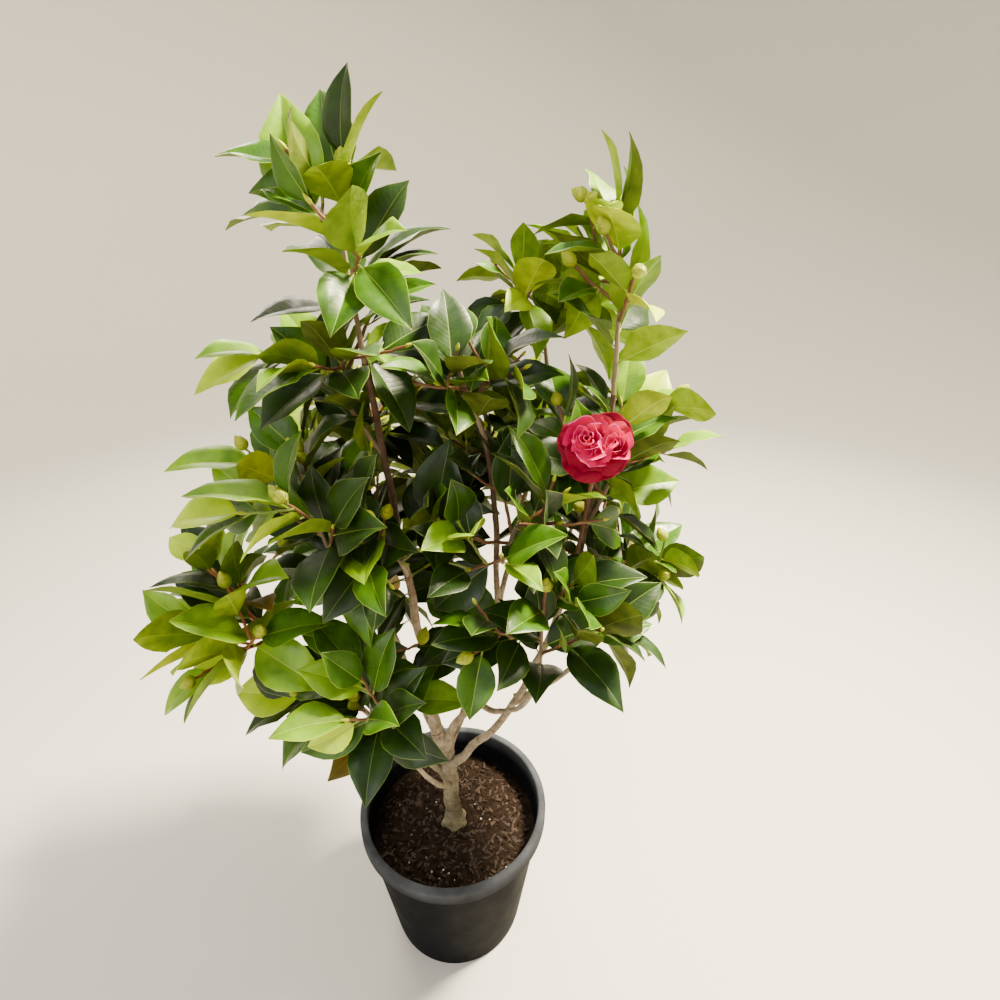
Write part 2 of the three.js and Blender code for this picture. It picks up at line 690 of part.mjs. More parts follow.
function shootSolid(shoot) {
  const points = SHOOT_SHARES.map((s) => shootPoint(shoot, s));
  const tangents = SHOOT_SHARES.map((s) => shootTangent(shoot, s));
  const thick = SHOOT_RADII[Math.min(shoot.order + shoot.flush, SHOOT_RADII.length - 1)];
  return taperedTube(points, tangents, SHOOT_SHARES.map((s) => thick * (1 - SHOOT_TAPER * s)), 3);
}

function budSolid(bud) {
  const profile = BUD_PROFILE.map(([r, z]) => [r * BUD_RADIUS, z * bud.length]);
  return turnedSolid(profile, BUD_SIDES, bud.base, bud.along);
}

// A mass: its shoots that bear something, its leaves and its buds, joined and cut clear of its limb
function massSolid(mass) {
  const bearing = new Set([...mass.leaves, ...mass.buds].map((piece) => piece.shoot));
  const forks = new Set(mass.shoots.map((shoot) => shoot.parent));
  const alive = mass.shoots.filter((shoot) => bearing.has(shoot) || forks.has(shoot));
  const pieces = [...alive.map(shootSolid), ...mass.leaves.map(leafSolid), ...mass.buds.map(budSolid)];
  return clearOf(mainBody(wasm.Manifold.union(pieces)), limbs.get(mass.on));
}

// The bloom: a round core on its own twig, with rings of broad petals set into it
function bloomSolid() {
  const span = bloomBack.clone().sub(bloomFoot);
  const heading = span.clone().normalize().addScaledVector(UP, -SHOOT_RISE);
  const twig = shootSolid({ start: bloomFoot, heading, length: span.length(), order: 0, flush: 0 });
  const core = new THREE.SphereGeometry(BLOOM_CORE_RADIUS, ...BLOOM_CORE_SIDES);
  core.translate(...BLOOM_CENTRE);
  const petals = PETAL_RINGS.flatMap((ring, level) =>
    Array.from({ length: ring.count }, (_, k) => {
      const turn = radians((360 * (k + level / 2)) / ring.count);
      const along = turnedFrom(bloomFacing, radians(ring.lean), turn);
      const top = bloomFacing.clone().addScaledVector(along, -bloomFacing.dot(along)).normalize();
      const length = ring.length - PETAL_ROOT;
      return leafSolid({
        along,
        top,
        side: top.clone().cross(along),
        base: bloomCentre.clone().addScaledVector(along, PETAL_ROOT + PETIOLE),
        length,
        width: ring.width / length,
        fold: PETAL_FOLD,
        curl: -PETAL_CUP,
      });
    }),
  );
  return clearOf(wasm.Manifold.union([twig, toSolid(core), ...petals]), limbs.get(BLOOM_ON));
}

// Pot: a tapered tub with a thick rolled rim and drain holes round the edge of its floor
const BAND_BOTTOM = POT_HEIGHT - RIM_BAND_HEIGHT;
const POT_BAND_RADIUS = POT_RIM_RADIUS - RIM_OVERHANG;
const potRadiusAt = (z) => mix(POT_FOOT_RADIUS, POT_BAND_RADIUS, z / BAND_BOTTOM);

function potSolid() {
  const profile = [
    [0, 0],
    [POT_FOOT_RADIUS - FOOT_BEVEL, 0],
    [POT_FOOT_RADIUS, FOOT_BEVEL],
    [POT_BAND_RADIUS, BAND_BOTTOM],
    [POT_RIM_RADIUS - RIM_LIP, BAND_BOTTOM],
    [POT_RIM_RADIUS, BAND_BOTTOM + RIM_LIP],
    [POT_RIM_RADIUS, POT_HEIGHT - RIM_ROUND],
    [POT_RIM_RADIUS - RIM_ROUND, POT_HEIGHT],
    [POT_BAND_RADIUS, POT_HEIGHT],
    [POT_BAND_RADIUS - POT_WALL, POT_HEIGHT - RIM_ROUND],
    [POT_BAND_RADIUS - POT_WALL, BAND_BOTTOM],
    [potRadiusAt(POT_WALL) - POT_WALL, POT_WALL],
    [0, POT_WALL],
  ];
  let pot = turnedSolid(profile, POT_SIDES, new THREE.Vector3(), UP);
  for (let k = 0; k < DRAIN_HOLES; k++) {
    const size = [DRAIN_HOLE_RADIUS, DRAIN_HOLE_RADIUS, 4 * POT_WALL];
    const hole = new THREE.CylinderGeometry(...size, DRAIN_HOLE_SIDES);
    hole.rotateX(Math.PI / 2);
    const turn = (2 * Math.PI * k) / DRAIN_HOLES;
    hole.translate(DRAIN_CIRCLE_RADIUS * Math.cos(turn), DRAIN_CIRCLE_RADIUS * Math.sin(turn), 0);
    pot = pot.subtract(toSolid(hole));
  }
  return pot;
}

// Soil: fills the pot from its floor, flat under the trunk and a little lower at the wall
function soilSolid() {
  const edge = SOIL_LEVEL - SOIL_FALL;
  const slack = POT_WALL + GAP;
  const profile = [
    [0, POT_WALL],
    [potRadiusAt(POT_WALL) - slack, POT_WALL],
    [potRadiusAt(edge) - slack, edge],
    [SOIL_MOUND_RADIUS, SOIL_LEVEL],
    [0, SOIL_LEVEL],
  ];
  return turnedSolid(profile, POT_SIDES, new THREE.Vector3(), UP);
}

const group = new THREE.Group();

function addPiece(name, solid, color, roughness) {
  const material = new THREE.MeshStandardMaterial({ color, roughness, metalness: 0 });
  const mesh = new THREE.Mesh(toGeometry(solid), material);
  mesh.name = name;
  group.add(mesh);
}

addPiece('pot', potSolid(), POT_BLACK, 0.5);
addPiece('soil', soilSolid(), SOIL_BROWN, 0.95);
for (const limb of limbs.values()) {
  addPiece(limb.name, limbSolid(limb), BARK, 0.85);
}
addPiece('bloom', bloomSolid(), PETAL_RED, 0.5);

// Each mass keeps clear of all that the masses before it have filled
const filled = [];
for (const [place, on, at, middle, reach, seed, cluster] of MASSES) {
  const mass = { on, at, middle: vector(middle), reach, seed, cluster };
  mass.shoots = growShoots(mass, filled);
  mass.leaves = growLeaves(mass, filled);
  mass.buds = growBuds(mass, filled);
  filled.push(...mass.shoots.map(shootBox), ...[...mass.leaves, ...mass.buds].map((piece) => piece.box));
  addPiece(`foliage_${place}`, massSolid(mass), LEAF_GREEN, 0.35);
}

export default group;
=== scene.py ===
import json
import math

import bpy
import numpy as np
from mathutils.bvhtree import BVHTree
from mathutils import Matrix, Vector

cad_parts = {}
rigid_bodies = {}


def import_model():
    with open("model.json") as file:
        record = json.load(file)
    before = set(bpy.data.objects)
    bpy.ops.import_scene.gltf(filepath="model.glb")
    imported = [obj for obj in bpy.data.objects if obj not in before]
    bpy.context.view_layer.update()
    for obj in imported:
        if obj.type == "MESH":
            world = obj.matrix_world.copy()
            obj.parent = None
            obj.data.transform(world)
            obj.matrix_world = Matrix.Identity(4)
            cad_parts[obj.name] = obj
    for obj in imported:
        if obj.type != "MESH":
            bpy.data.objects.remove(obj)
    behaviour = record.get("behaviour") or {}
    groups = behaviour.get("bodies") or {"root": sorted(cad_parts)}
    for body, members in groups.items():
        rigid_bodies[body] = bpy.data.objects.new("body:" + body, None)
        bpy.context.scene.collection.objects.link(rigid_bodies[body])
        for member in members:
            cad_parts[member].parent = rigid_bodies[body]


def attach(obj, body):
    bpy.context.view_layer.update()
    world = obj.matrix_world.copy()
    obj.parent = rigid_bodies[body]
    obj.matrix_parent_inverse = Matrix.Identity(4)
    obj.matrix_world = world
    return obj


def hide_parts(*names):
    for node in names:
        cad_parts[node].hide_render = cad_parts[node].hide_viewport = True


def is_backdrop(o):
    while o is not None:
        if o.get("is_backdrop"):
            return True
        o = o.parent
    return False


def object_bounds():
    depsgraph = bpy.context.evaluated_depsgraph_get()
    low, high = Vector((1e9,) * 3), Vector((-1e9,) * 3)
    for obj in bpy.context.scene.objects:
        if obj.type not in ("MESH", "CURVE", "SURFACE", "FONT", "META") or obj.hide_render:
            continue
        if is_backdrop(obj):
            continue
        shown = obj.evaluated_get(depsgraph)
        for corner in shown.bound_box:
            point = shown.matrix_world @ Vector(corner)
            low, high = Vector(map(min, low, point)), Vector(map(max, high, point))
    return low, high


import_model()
cad_low, cad_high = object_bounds()

# The camera stands 1.2 m up and 0.7 m in front of the trunk and looks down on the shrub. Its
# lens is wide enough to take in the plant from its highest leaf to the foot of its pot.
EYE = (0.081, -0.678, 1.215)
LOOK_DOWN = math.radians(27)
FOCAL_LENGTH = 21.2

camera = bpy.data.objects.new("camera", bpy.data.cameras.new("camera"))
camera.data.sensor_width = 36
camera.data.lens = FOCAL_LENGTH
camera.location = EYE
camera.rotation_euler = (math.pi / 2 - LOOK_DOWN, 0, 0)
bpy.context.scene.collection.objects.link(camera)
bpy.context.scene.camera = camera

# The studio: a pale round floor that turns up into a wall, and large soft lamps. The warm one
# stands high at the right as the sun does, the others open up the shade.
FLOOR_RADIUS = 3.2
COVE_RADIUS = 1.4
WALL_TOP = 6.4
COVE_ROWS = 12
STUDIO_SIDES = 96
FLOOR_COLOUR = "#d4d1cb"
SKY_COLOUR = "#dfe6ee"
SKY_STRENGTH = 0.45
# Place, width and power of each lamp, and its colour
LAMPS = {
    "sun_side": ((1.25, 0.3, 2.75), 0.42, 530, "#fff1d0"),
    "fill_side": ((-1.2, -2.0, 1.9), 1.8, 40, "#f6f6ff"),
    "back": ((-0.9, 1.9, 2.3), 1.4, 70, "#fff4de"),
    "overhead": ((0.1, -0.3, 2.9), 1.6, 20, "#ffffff"),
}
LAMP_TARGET = np.array([-0.02, 0.0, 0.75])


def linear(hex_colour):
    """The linear colour that a shader or a lamp uses, from sRGB hex."""
    srgb = np.array([int(hex_colour[i : i + 2], 16) for i in (1, 3, 5)]) / 255
    bent = ((srgb + 0.055) / 1.055) ** 2.4
    return tuple(np.where(srgb <= 0.04045, srgb / 12.92, bent))


def new_material(name, colour, roughness, **values):
    """A material with one shader, whose even colours and numbers are on its own sockets."""
    material = bpy.data.materials.new(name)
    material.use_nodes = True
    shader = material.node_tree.nodes["Principled BSDF"]
    shader.inputs["Base Color"].default_value = (*linear(colour), 1)
    shader.inputs["Roughness"].default_value = roughness
    for socket, value in values.items():
        shader.inputs[socket.replace("_", " ")].default_value = value
    return material, shader


def grid_quads(rows, columns, round_about):
    """Quads between the neighbours of a grid; round_about joins its last column to its first."""
    row, column = np.mgrid[0 : rows - 1, 0 : columns if round_about else columns - 1]
    a = row * columns + column
    b = row * columns + (column + 1) % columns
    return np.stack([a, b, b + columns, a + columns], -1).reshape(-1, 4)


def add_piece(name, corners, faces, materials, numbers=None, sharp=180):
    """A mesh object at the origin, from corners in metres and arrays of faces of like size.
    numbers gives each face's material; edges sharper than the angle are shaded as edges."""
    mesh = bpy.data.meshes.new(name)
    mesh.vertices.add(len(corners))
    mesh.vertices.foreach_set("co", np.asarray(corners, np.float32).ravel())
    sizes = np.concatenate([np.full(len(part), part.shape[1]) for part in faces])
    mesh.loops.add(int(sizes.sum()))
    mesh.loops.foreach_set("vertex_index", np.concatenate([part.ravel() for part in faces]))
    mesh.polygons.add(len(sizes))
    mesh.polygons.foreach_set("loop_start", np.concatenate([[0], np.cumsum(sizes)[:-1]]))
    if numbers is not None:
        mesh.polygons.foreach_set("material_index", numbers)
    mesh.update(calc_edges=True)
    for material in materials:
        mesh.materials.append(material)
    mesh.polygons.foreach_set("use_smooth", np.ones(len(sizes), bool))
    mesh.set_sharp_from_angle(angle=math.radians(sharp))
    piece = bpy.data.objects.new(name, mesh)
    bpy.context.scene.collection.objects.link(piece)
    return piece


def turned(profile, sides):
    """Corners of a profile of radii and heights carried round the Z axis."""
    angle = np.arange(sides) * 2 * np.pi / sides
    radius, height = np.asarray(profile, float).T[:, :, None]
    ring = np.stack([radius * np.cos(angle), radius * np.sin(angle), height + 0 * angle], -1)
    return ring.reshape(-1, 3)


cove = np.linspace(0, np.pi / 2, COVE_ROWS)
studio_profile = np.concatenate([
    [[0.001, 0], [FLOOR_RADIUS, 0]],
    np.stack([FLOOR_RADIUS + COVE_RADIUS * np.sin(cove), COVE_RADIUS * (1 - np.cos(cove))], -1),
    [[FLOOR_RADIUS + COVE_RADIUS, WALL_TOP]],
])
studio_paint, _ = new_material("matt studio paint", FLOOR_COLOUR, 0.9)
studio = add_piece(
    "studio",
    turned(studio_profile, STUDIO_SIDES),
    [grid_quads(len(studio_profile), STUDIO_SIDES, True)[:, ::-1]],
    [studio_paint],
)
studio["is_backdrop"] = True

for name, (place, width, watts, colour) in LAMPS.items():
    lamp = bpy.data.objects.new(name, bpy.data.lights.new(name, "AREA"))
    lamp.data.size = width
    lamp.data.energy = watts
    lamp.data.color = linear(colour)
    lamp.location = place
    aim = LAMP_TARGET - np.array(place)
    level = math.hypot(aim[0], aim[1])
    lamp.rotation_euler = (math.atan2(level, -aim[2]), 0, math.atan2(-aim[0], aim[1]))
    lamp.visible_camera = False
    bpy.context.scene.collection.objects.link(lamp)
world = bpy.data.worlds.new("soft daylight")
world.use_nodes = True
sky = world.node_tree.nodes["Background"]
sky.inputs["Color"].default_value = (*linear(SKY_COLOUR), 1)
sky.inputs["Strength"].default_value = SKY_STRENGTH
bpy.context.scene.world = world

# The pot: a nursery pot of black polypropylene, moulded in one shot, with a thick rolled rim
# and a smooth tapered wall. Its rim is greyed partly by sun-bleaching and partly by painted sunlight
# and sheen, and handling has scuffed the wall.
MM = 0.001
POT_HEIGHT = 285
POT_RIM_RADIUS = 160
POT_FOOT_RADIUS = 118
POT_WALL = 4
RIM_BAND_HEIGHT = 26
RIM_OVERHANG = 9
FOOT_BEVEL = 4
BAND_FILLET = 2
BAND_EDGE = 2.5
RIM_ROLL = 5
DRAIN_HOLES = 6
DRAIN_HOLE_RADIUS = 7
DRAIN_CIRCLE_RADIUS = 84
POT_SIDES = 144
WALL_ROWS = 24
INNER_WALL_ROWS = 12
# Rows of the floor, as shares of the way from a drain hole to the edge of its sixth
FLOOR_SHARES = np.array([0, 0.25, 0.6, 1])
WELD_WITHIN = 0.01

band_bottom = POT_HEIGHT - RIM_BAND_HEIGHT
pot_band_radius = POT_RIM_RADIUS - RIM_OVERHANG


def pot_radius_at(height):
    """The wall's outer radius, which grows evenly from the foot to the band."""
    return POT_FOOT_RADIUS + (pot_band_radius - POT_FOOT_RADIUS) * height / band_bottom


def arc(centre_radius, centre_height, radius, first, last, count):
    """Points on a round corner of a profile, from one angle to another in degrees."""
    angle = np.radians(np.linspace(first, last, count))
    across, up = radius * np.cos(angle), radius * np.sin(angle)
    return np.stack([centre_radius + across, centre_height + up], -1)


wall_heights = np.linspace(FOOT_BEVEL, band_bottom - BAND_FILLET, WALL_ROWS)[1:]
inner_heights = np.linspace(band_bottom, POT_WALL, INNER_WALL_ROWS)
pot_profile = np.concatenate([
    arc(POT_FOOT_RADIUS - FOOT_BEVEL, FOOT_BEVEL, FOOT_BEVEL, -90, 0, 6),
    np.stack([pot_radius_at(wall_heights), wall_heights], -1),
    arc(pot_band_radius + BAND_FILLET, band_bottom - BAND_FILLET, BAND_FILLET, 180, 90, 5),
    arc(POT_RIM_RADIUS - BAND_EDGE, band_bottom + BAND_EDGE, BAND_EDGE, -90, 0, 5),
    arc(POT_RIM_RADIUS - RIM_ROLL, POT_HEIGHT - RIM_ROLL, RIM_ROLL, 0, 90, 7),
    arc(pot_band_radius - POT_WALL + RIM_ROLL, POT_HEIGHT - RIM_ROLL, RIM_ROLL, 90, 180, 7),
    np.stack([pot_radius_at(inner_heights) - POT_WALL, inner_heights], -1),
])
wall_corners = turned(pot_profile, POT_SIDES)
wall_quads = grid_quads(len(pot_profile), POT_SIDES, True)


def floor_sector(edge_radius, height, number):
    """Rows of a sixth of the floor, from the edge of its drain hole out to the sector's own
    edge: out along one side, round the wall and back along the other."""
    around = POT_SIDES // DRAIN_HOLES
    middle = 2 * np.pi * number / DRAIN_HOLES
    turn = middle + (np.arange(around + 1) / around - 0.5) * 2 * np.pi / DRAIN_HOLES
    outer = edge_radius * np.stack([np.cos(turn), np.sin(turn)], -1)
    spoke = np.linspace(0, 1, around // 2 + 1)[:-1, None]
    edge = np.concatenate([spoke * outer[0], outer, (spoke * outer[-1])[:0:-1]])
    hub = DRAIN_CIRCLE_RADIUS * np.array([np.cos(middle), np.sin(middle)])
    out = edge - hub
    rim = hub + DRAIN_HOLE_RADIUS * out / np.linalg.norm(out, axis=1, keepdims=True)
    rows = rim + FLOOR_SHARES[:, None, None] * (edge - rim)
    return np.concatenate([rows, np.full((*rows.shape[:2], 1), float(height))], -1)


floor_parts = []
floor_quads = []
first = len(wall_corners)
for number in range(DRAIN_HOLES):
    under = floor_sector(POT_FOOT_RADIUS - FOOT_BEVEL, 0, number)
    upper = floor_sector(pot_radius_at(POT_WALL) - POT_WALL, POT_WALL, number)
    sheet = np.concatenate([under[::-1], upper])
    floor_quads.append(grid_quads(len(sheet), sheet.shape[1], True)[:, ::-1] + first)
    floor_parts.append(sheet.reshape(-1, 3))
    first += len(floor_parts[-1])


def add_node(material, kind, settings, links):
    """One node with its settings, and each input either a value or another node's output."""
    node = material.node_tree.nodes.new("ShaderNode" + kind)
    for name, value in settings.items():
        setattr(node, name, value)
    for name, value in links.items():
        if isinstance(value, bpy.types.NodeSocket):
            material.node_tree.links.new(value, node.inputs[name])
        else:
            node.inputs[name].default_value = value
    return node


def feed(material, shader, socket, output):
    """A node's output joined to one socket of the shader."""
    material.node_tree.links.new(output, shader.inputs[socket])


def grained(material, shader, place, size, detail, strength, depth):
    """Grain in relief: a noise of that size in metres, which lifts the surface by the depth."""
    grain = add_node(material, "TexNoise", {}, {"Vector": place, "Scale": 1 / size, "Detail": detail})
    bump = add_node(material, "Bump", {}, {
        "Height": grain.outputs["Fac"], "Strength": strength, "Distance": depth})
    feed(material, shader, "Normal", bump.outputs[0])


pot_plastic, shader = new_material(
    "moulded polypropylene", "#17181a", 0.6, Specular_IOR_Level=0.012)
# A chalky grey rises towards the rim, partly sun-bleaching and partly painted sunlight and sheen, and
# dust dulls the rest in patches
place = add_node(pot_plastic, "TexCoord", {}, {}).outputs["Object"]
height = add_node(pot_plastic, "SeparateXYZ", {}, {"Vector": place}).outputs["Z"]
patches = add_node(pot_plastic, "TexNoise", {}, {"Vector": place, "Scale": 1 / 0.045, "Detail": 5.0})
level_ways = add_node(pot_plastic, "Mapping", {}, {"Vector": place, "Scale": (1.0, 1.0, 9.0)})
scuffs = add_node(pot_plastic, "TexNoise", {}, {
    "Vector": level_ways.outputs[0], "Scale": 1 / 0.02, "Detail": 8.0})
# Painted sunlight and sheen with some sun-bleaching: greyer with height up to the rim
bleached_and_sunlit = add_node(pot_plastic, "MapRange", {}, {
    "Value": height, "From Min": (band_bottom - 6) * MM, "From Max": (POT_HEIGHT + 8) * MM})
patchy = add_node(pot_plastic, "Math", {"operation": "MULTIPLY"}, {
    0: bleached_and_sunlit.outputs[0], 1: patches.outputs["Fac"]})
marks = add_node(pot_plastic, "MapRange", {}, {
    "Value": scuffs.outputs["Fac"], "From Min": 0.56, "From Max": 0.74, "To Max": 0.08})
grey = add_node(pot_plastic, "Math", {"operation": "ADD", "use_clamp": True}, {
    0: patchy.outputs[0], 1: marks.outputs[0]})
colour = add_node(pot_plastic, "Mix", {"data_type": "RGBA"}, {
    0: grey.outputs[0], 6: (*linear("#0e0f12"), 1), 7: (*linear("#63676f"), 1)})
feed(pot_plastic, shader, "Base Color", colour.outputs[2])
rough = add_node(pot_plastic, "MapRange", {}, {
    "Value": patches.outputs["Fac"], "To Min": 0.4, "To Max": 0.7})
feed(pot_plastic, shader, "Roughness", rough.outputs[0])
grained(pot_plastic, shader, place, 0.0025, 3.0, 0.12, 0.0006)

pot = add_piece(
    "pot_shell",
    MM * np.concatenate([wall_corners, *floor_parts]),
    [wall_quads, *floor_quads],
    [pot_plastic],
    sharp=40,
)
weld = pot.modifiers.new("weld", "WELD")
weld.merge_threshold = WELD_WITHIN * MM
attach(pot, "root")
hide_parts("pot")

# The compost: moist bark and peat, uneven on top, that has settled below the rim. Shreds of bark,
# crumbs of peat and a few white grains of perlite lie on it.
SOIL_LEVEL = 230
SOIL_MOUND_RADIUS = 62
SOIL_FALL = 7
SOIL_ROUGHNESS = 2.2
# Lumps of the soil: how wide they are in turn, and how high as shares of its roughness
SOIL_LUMPS = ((34, 0.6), (13, 0.5), (6, 0.25))
SOIL_SUNK = 0.6
SOIL_GAP = 0.6
SOIL_ROWS = 80
SOIL_SIDES = 240
BARK_SHREDS = 520
PEAT_CRUMBS = 700
PERLITE_GRAINS = 26
# How far the litter keeps from the wall, and how far a block stands up of half its height
LITTER_GAP = 9
LITTER_RISE = 0.25


def waves(x, y, size, seed):
    """An uneven height: eight crossing waves of about that length, their heights even out to 1."""
    draw = np.random.default_rng(seed)
    way = draw.uniform(0, 2 * np.pi, 8)
    steep = 2 * np.pi / size * draw.uniform(0.6, 1.7, 8)
    shift = draw.uniform(0, 2 * np.pi, 8)
    across = np.multiply.outer(x, steep * np.cos(way)) + np.multiply.outer(y, steep * np.sin(way))
    return np.sin(across + shift).sum(-1) / 3


def soil_height(x, y):
    """Flat under the trunk, lower towards the wall, and uneven in lumps of three sizes."""
    out = np.clip((np.hypot(x, y) - SOIL_MOUND_RADIUS) / (soil_radius - SOIL_MOUND_RADIUS), 0, 1)
    lumps = sum(waves(x, y, size, seed) * high for seed, (size, high) in enumerate(SOIL_LUMPS, 1))
    return SOIL_LEVEL - SOIL_FALL * out + SOIL_ROUGHNESS * (lumps - SOIL_SUNK)


soil_edge = SOIL_LEVEL - SOIL_FALL
soil_radius = pot_radius_at(soil_edge) - POT_WALL - SOIL_GAP
rings = np.linspace(0.004, 1, SOIL_ROWS) * soil_radius
angle = np.arange(SOIL_SIDES) * 2 * np.pi / SOIL_SIDES
x, y = rings[:, None] * np.cos(angle), rings[:, None] * np.sin(angle)
surface = np.stack([x, y, soil_height(x, y)], -1)[::-1]
foot_radius = pot_radius_at(POT_WALL) - POT_WALL - SOIL_GAP
foot = foot_radius / soil_radius * surface[:1] * [1, 1, 0] + [0, 0, POT_WALL + SOIL_GAP]
under = 0.01 * foot * [1, 1, 0] + [0, 0, POT_WALL + SOIL_GAP]
soil_rows = np.concatenate([under, foot, surface])
last_ring = (len(soil_rows) - 1) * SOIL_SIDES + np.arange(SOIL_SIDES)


def mottled(material, place, size, detail, roughness, *tints):
    """A colour that follows a noise of that size in metres; each tint is given with its place
    on the noise's scale, and they mix evenly between their places."""
    noise = add_node(material, "TexNoise", {}, {
        "Vector": place, "Scale": 1 / size, "Detail": detail, "Roughness": roughness})
    ramp = add_node(material, "ValToRGB", {}, {"Fac": noise.outputs["Fac"]})
    for element, (position, tint) in zip(ramp.color_ramp.elements, tints):
        element.position = position
        element.color = (*linear(tint), 1)
    return ramp.outputs[0]


peat, shader = new_material("moist bark and peat", "#2e2118", 0.95, Specular_IOR_Level=0.1)
# Damp dark peat with paler fibres: two sizes of mottle, the finer one as grit in relief
place = add_node(peat, "TexCoord", {}, {}).outputs["Object"]
tints = mottled(peat, place, 0.009, 8.0, 0.7, (0.3, "#120d09"), (0.75, "#2c2017"))
feed(peat, shader, "Base Color", tints)
grained(peat, shader, place, 0.002, 6.0, 0.8, 0.0012)

soil = add_piece(
    "compost",
    MM * soil_rows.reshape(-1, 3),
    [grid_quads(len(soil_rows), SOIL_SIDES, True), np.arange(SOIL_SIDES)[None, ::-1], last_ring[None]],
    [peat],
    sharp=60,
)
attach(soil, "root")
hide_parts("soil")

# Corners and faces of a block, which its own sizes and uneven corners make a shred or a crumb
BLOCK = np.array([[x, y, z] for z in (-1, 1) for y in (-1, 1) for x in (-1, 1)], float)
BLOCK_FACES = np.array([
    [0, 2, 3, 1], [4, 5, 7, 6], [0, 1, 5, 4], [2, 6, 7, 3], [0, 4, 6, 2], [1, 3, 7, 5]])


def turned_about(angles):
    """Rotation matrices for arrays of angles about X, Y and Z."""
    cx, cy, cz = np.cos(angles).T
    sx, sy, sz = np.sin(angles).T
    return np.stack([
        np.stack([cy * cz, sx * sy * cz - cx * sz, cx * sy * cz + sx * sz], -1),
        np.stack([cy * sz, sx * sy * sz + cx * cz, cx * sy * sz - sx * cz], -1),
        np.stack([-sy, sx * cy, cx * cy], -1),
    ], -2)


def litter(count, low, high, tilt, seed):
    """Blocks with uneven corners, of sizes between low and high, strewn flat over the soil."""
    draw = np.random.default_rng(seed)
    half = draw.uniform(low, high, (count, 1, 3)) / 2
    ragged = BLOCK * half * draw.uniform(0.45, 1.0, (count, 8, 3))
    angles = np.stack([*draw.normal(0, tilt, (2, count)), draw.uniform(0, 2 * np.pi, count)], -1)
    radius = (soil_radius - LITTER_GAP) * np.sqrt(draw.uniform(0.02, 1, count))
    around = draw.uniform(0, 2 * np.pi, count)
    x, y = radius * np.cos(around), radius * np.sin(around)
    places = np.stack([x, y, soil_height(x, y) + LITTER_RISE * half[:, 0, 2]], -1)
    corners = np.einsum("nij,nkj->nki", turned_about(angles), ragged) + places[:, None]
    faces = BLOCK_FACES + 8 * np.arange(count)[:, None, None]
    return MM * corners.reshape(-1, 3), [faces.reshape(-1, 4)]


bark_shred, shader = new_material("shredded pine bark", "#5b3a25", 0.85)
# Torn bark is red-brown inside and nearly black outside, so its tint changes every few millimetres
place = add_node(bark_shred, "TexCoord", {}, {}).outputs["Object"]
tints = mottled(bark_shred, place, 0.012, 3.0, 0.5, (0.35, "#1c110b"), (0.7, "#402d20"))
feed(bark_shred, shader, "Base Color", tints)
# Volcanic glass, puffed up by heat: chalky white grains, too small to show more than their colour
perlite, _ = new_material("expanded perlite", "#d9d6cc", 0.8)

# In turn: how many, the least and the greatest size, how far they tilt, and the seed
for name, material, sizes in (
    ("bark_shreds", bark_shred, (BARK_SHREDS, (6, 2, 1.2), (19, 7, 3.4), 0.28, 11)),
    ("peat_crumbs", peat, (PEAT_CRUMBS, (1.5, 1.5, 1.5), (6, 6, 5), 1.5, 12)),
    ("perlite_grains", perlite, (PERLITE_GRAINS, (1.6, 1.6, 1.6), (3.6, 3.6, 3.2), 1.5, 13)),
):
    strewn = add_piece(name, *litter(*sizes), [material], sharp=30)
    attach(strewn, "root")

# The trunk, its four stems and their boughs: living wood under smooth grey-tan bark. Each grows
# out of the one before it through a swollen collar, and the trunk spreads into the compost.
# In turn: the limb that it leaves and at what share, its bend, its end, its radii
LIMBS = {
    "trunk": (None, 0, (0, 2, 340), (-21, 3, 450), 14.5, 11.5),
    "stem_left": ("trunk", 1, (-40, 5, 690), (-62, -58, 1062), 11, 4.2),
    "stem_middle": ("trunk", 0.84, (112, -22, 640), (64, -40, 968), 8.5, 3.8),
    "stem_right": ("trunk", 0.62, (172, -22, 540), (214, -8, 1012), 9.2, 4),
    "stem_rear": ("trunk", 0.74, (95, 130, 590), (150, 150, 985), 8.4, 3.8),
    "bough_left": ("stem_left", 0.1, (-125, -62, 620), (-108, -88, 800), 6.8, 3.8),
    "bough_low_left": ("trunk", 0.5, (-95, -60, 520), (-165, -95, 690), 6, 3.6),
    "bough_low_front": ("trunk", 0.4, (-20, -95, 430), (-58, -122, 575), 5.8, 3.6),
    "bough_front": ("stem_middle", 0.25, (105, -100, 560), (132, -112, 672), 5.6, 3.4),
    "bough_right": ("stem_right", 0.36, (205, 10, 560), (238, 0, 672), 5.4, 3.4),
    "bough_rear_left": ("trunk", 0.86, (-112, 105, 560), (-130, 110, 810), 6.4, 3.6),
    "bough_rear": ("stem_rear", 0.2, (-5, 160, 540), (0, 178, 700), 5.6, 3.4),
    "bough_rear_right": ("stem_rear", 0.4, (175, 130, 650), (200, 140, 770), 5.2, 3.4),
}
LIMB_STEP = 72
ROOT_FLARE = 8
ROOT_FLARE_HEIGHT = 26
FLARE_RING = 0.45
ROOTS = 5
SUNK = 9
RING_STEP = 2.6
TRUNK_SIDES = 40
LIMB_SIDES = 18
# How far the roots' ridges stand out, and how high they run as a share of the flare's height
ROOT_RIDGE = 2.6
ROOT_RIDGE_RISE = 1.8
COLLAR = 0.75
COLLAR_LENGTH = 0.9
# How far a limb wanders off its path, in shares of its radius, over what length, and how far
# from its ends that begins
WANDER = 0.35
WANDER_LENGTH = 130
WANDER_FROM = 60
# Lengthwise ridges: their height as a share of the radius, how many go round, and their turn
RIDGES = ((0.012, 7, 0.03), (0.035, 2, 0.05))
SWELLING = 0.03
SWELLING_LENGTH = 30
SCAR_STEP = 21
SCAR_SCATTER = 0.3
SCAR_TURN = 144
SCAR_TURN_SCATTER = 0.4
SCAR_HEIGHT = 0.55
SCAR_WIDTH = 1.5
# Above its stout foot a limb is slimmer than its solid, least so at its tip
SLIMNESS = 0.72
TIP_SLIMNESS = 0.84
STOUT_FOOT = 60

UP = np.array([0.0, 0.0, 1.0])


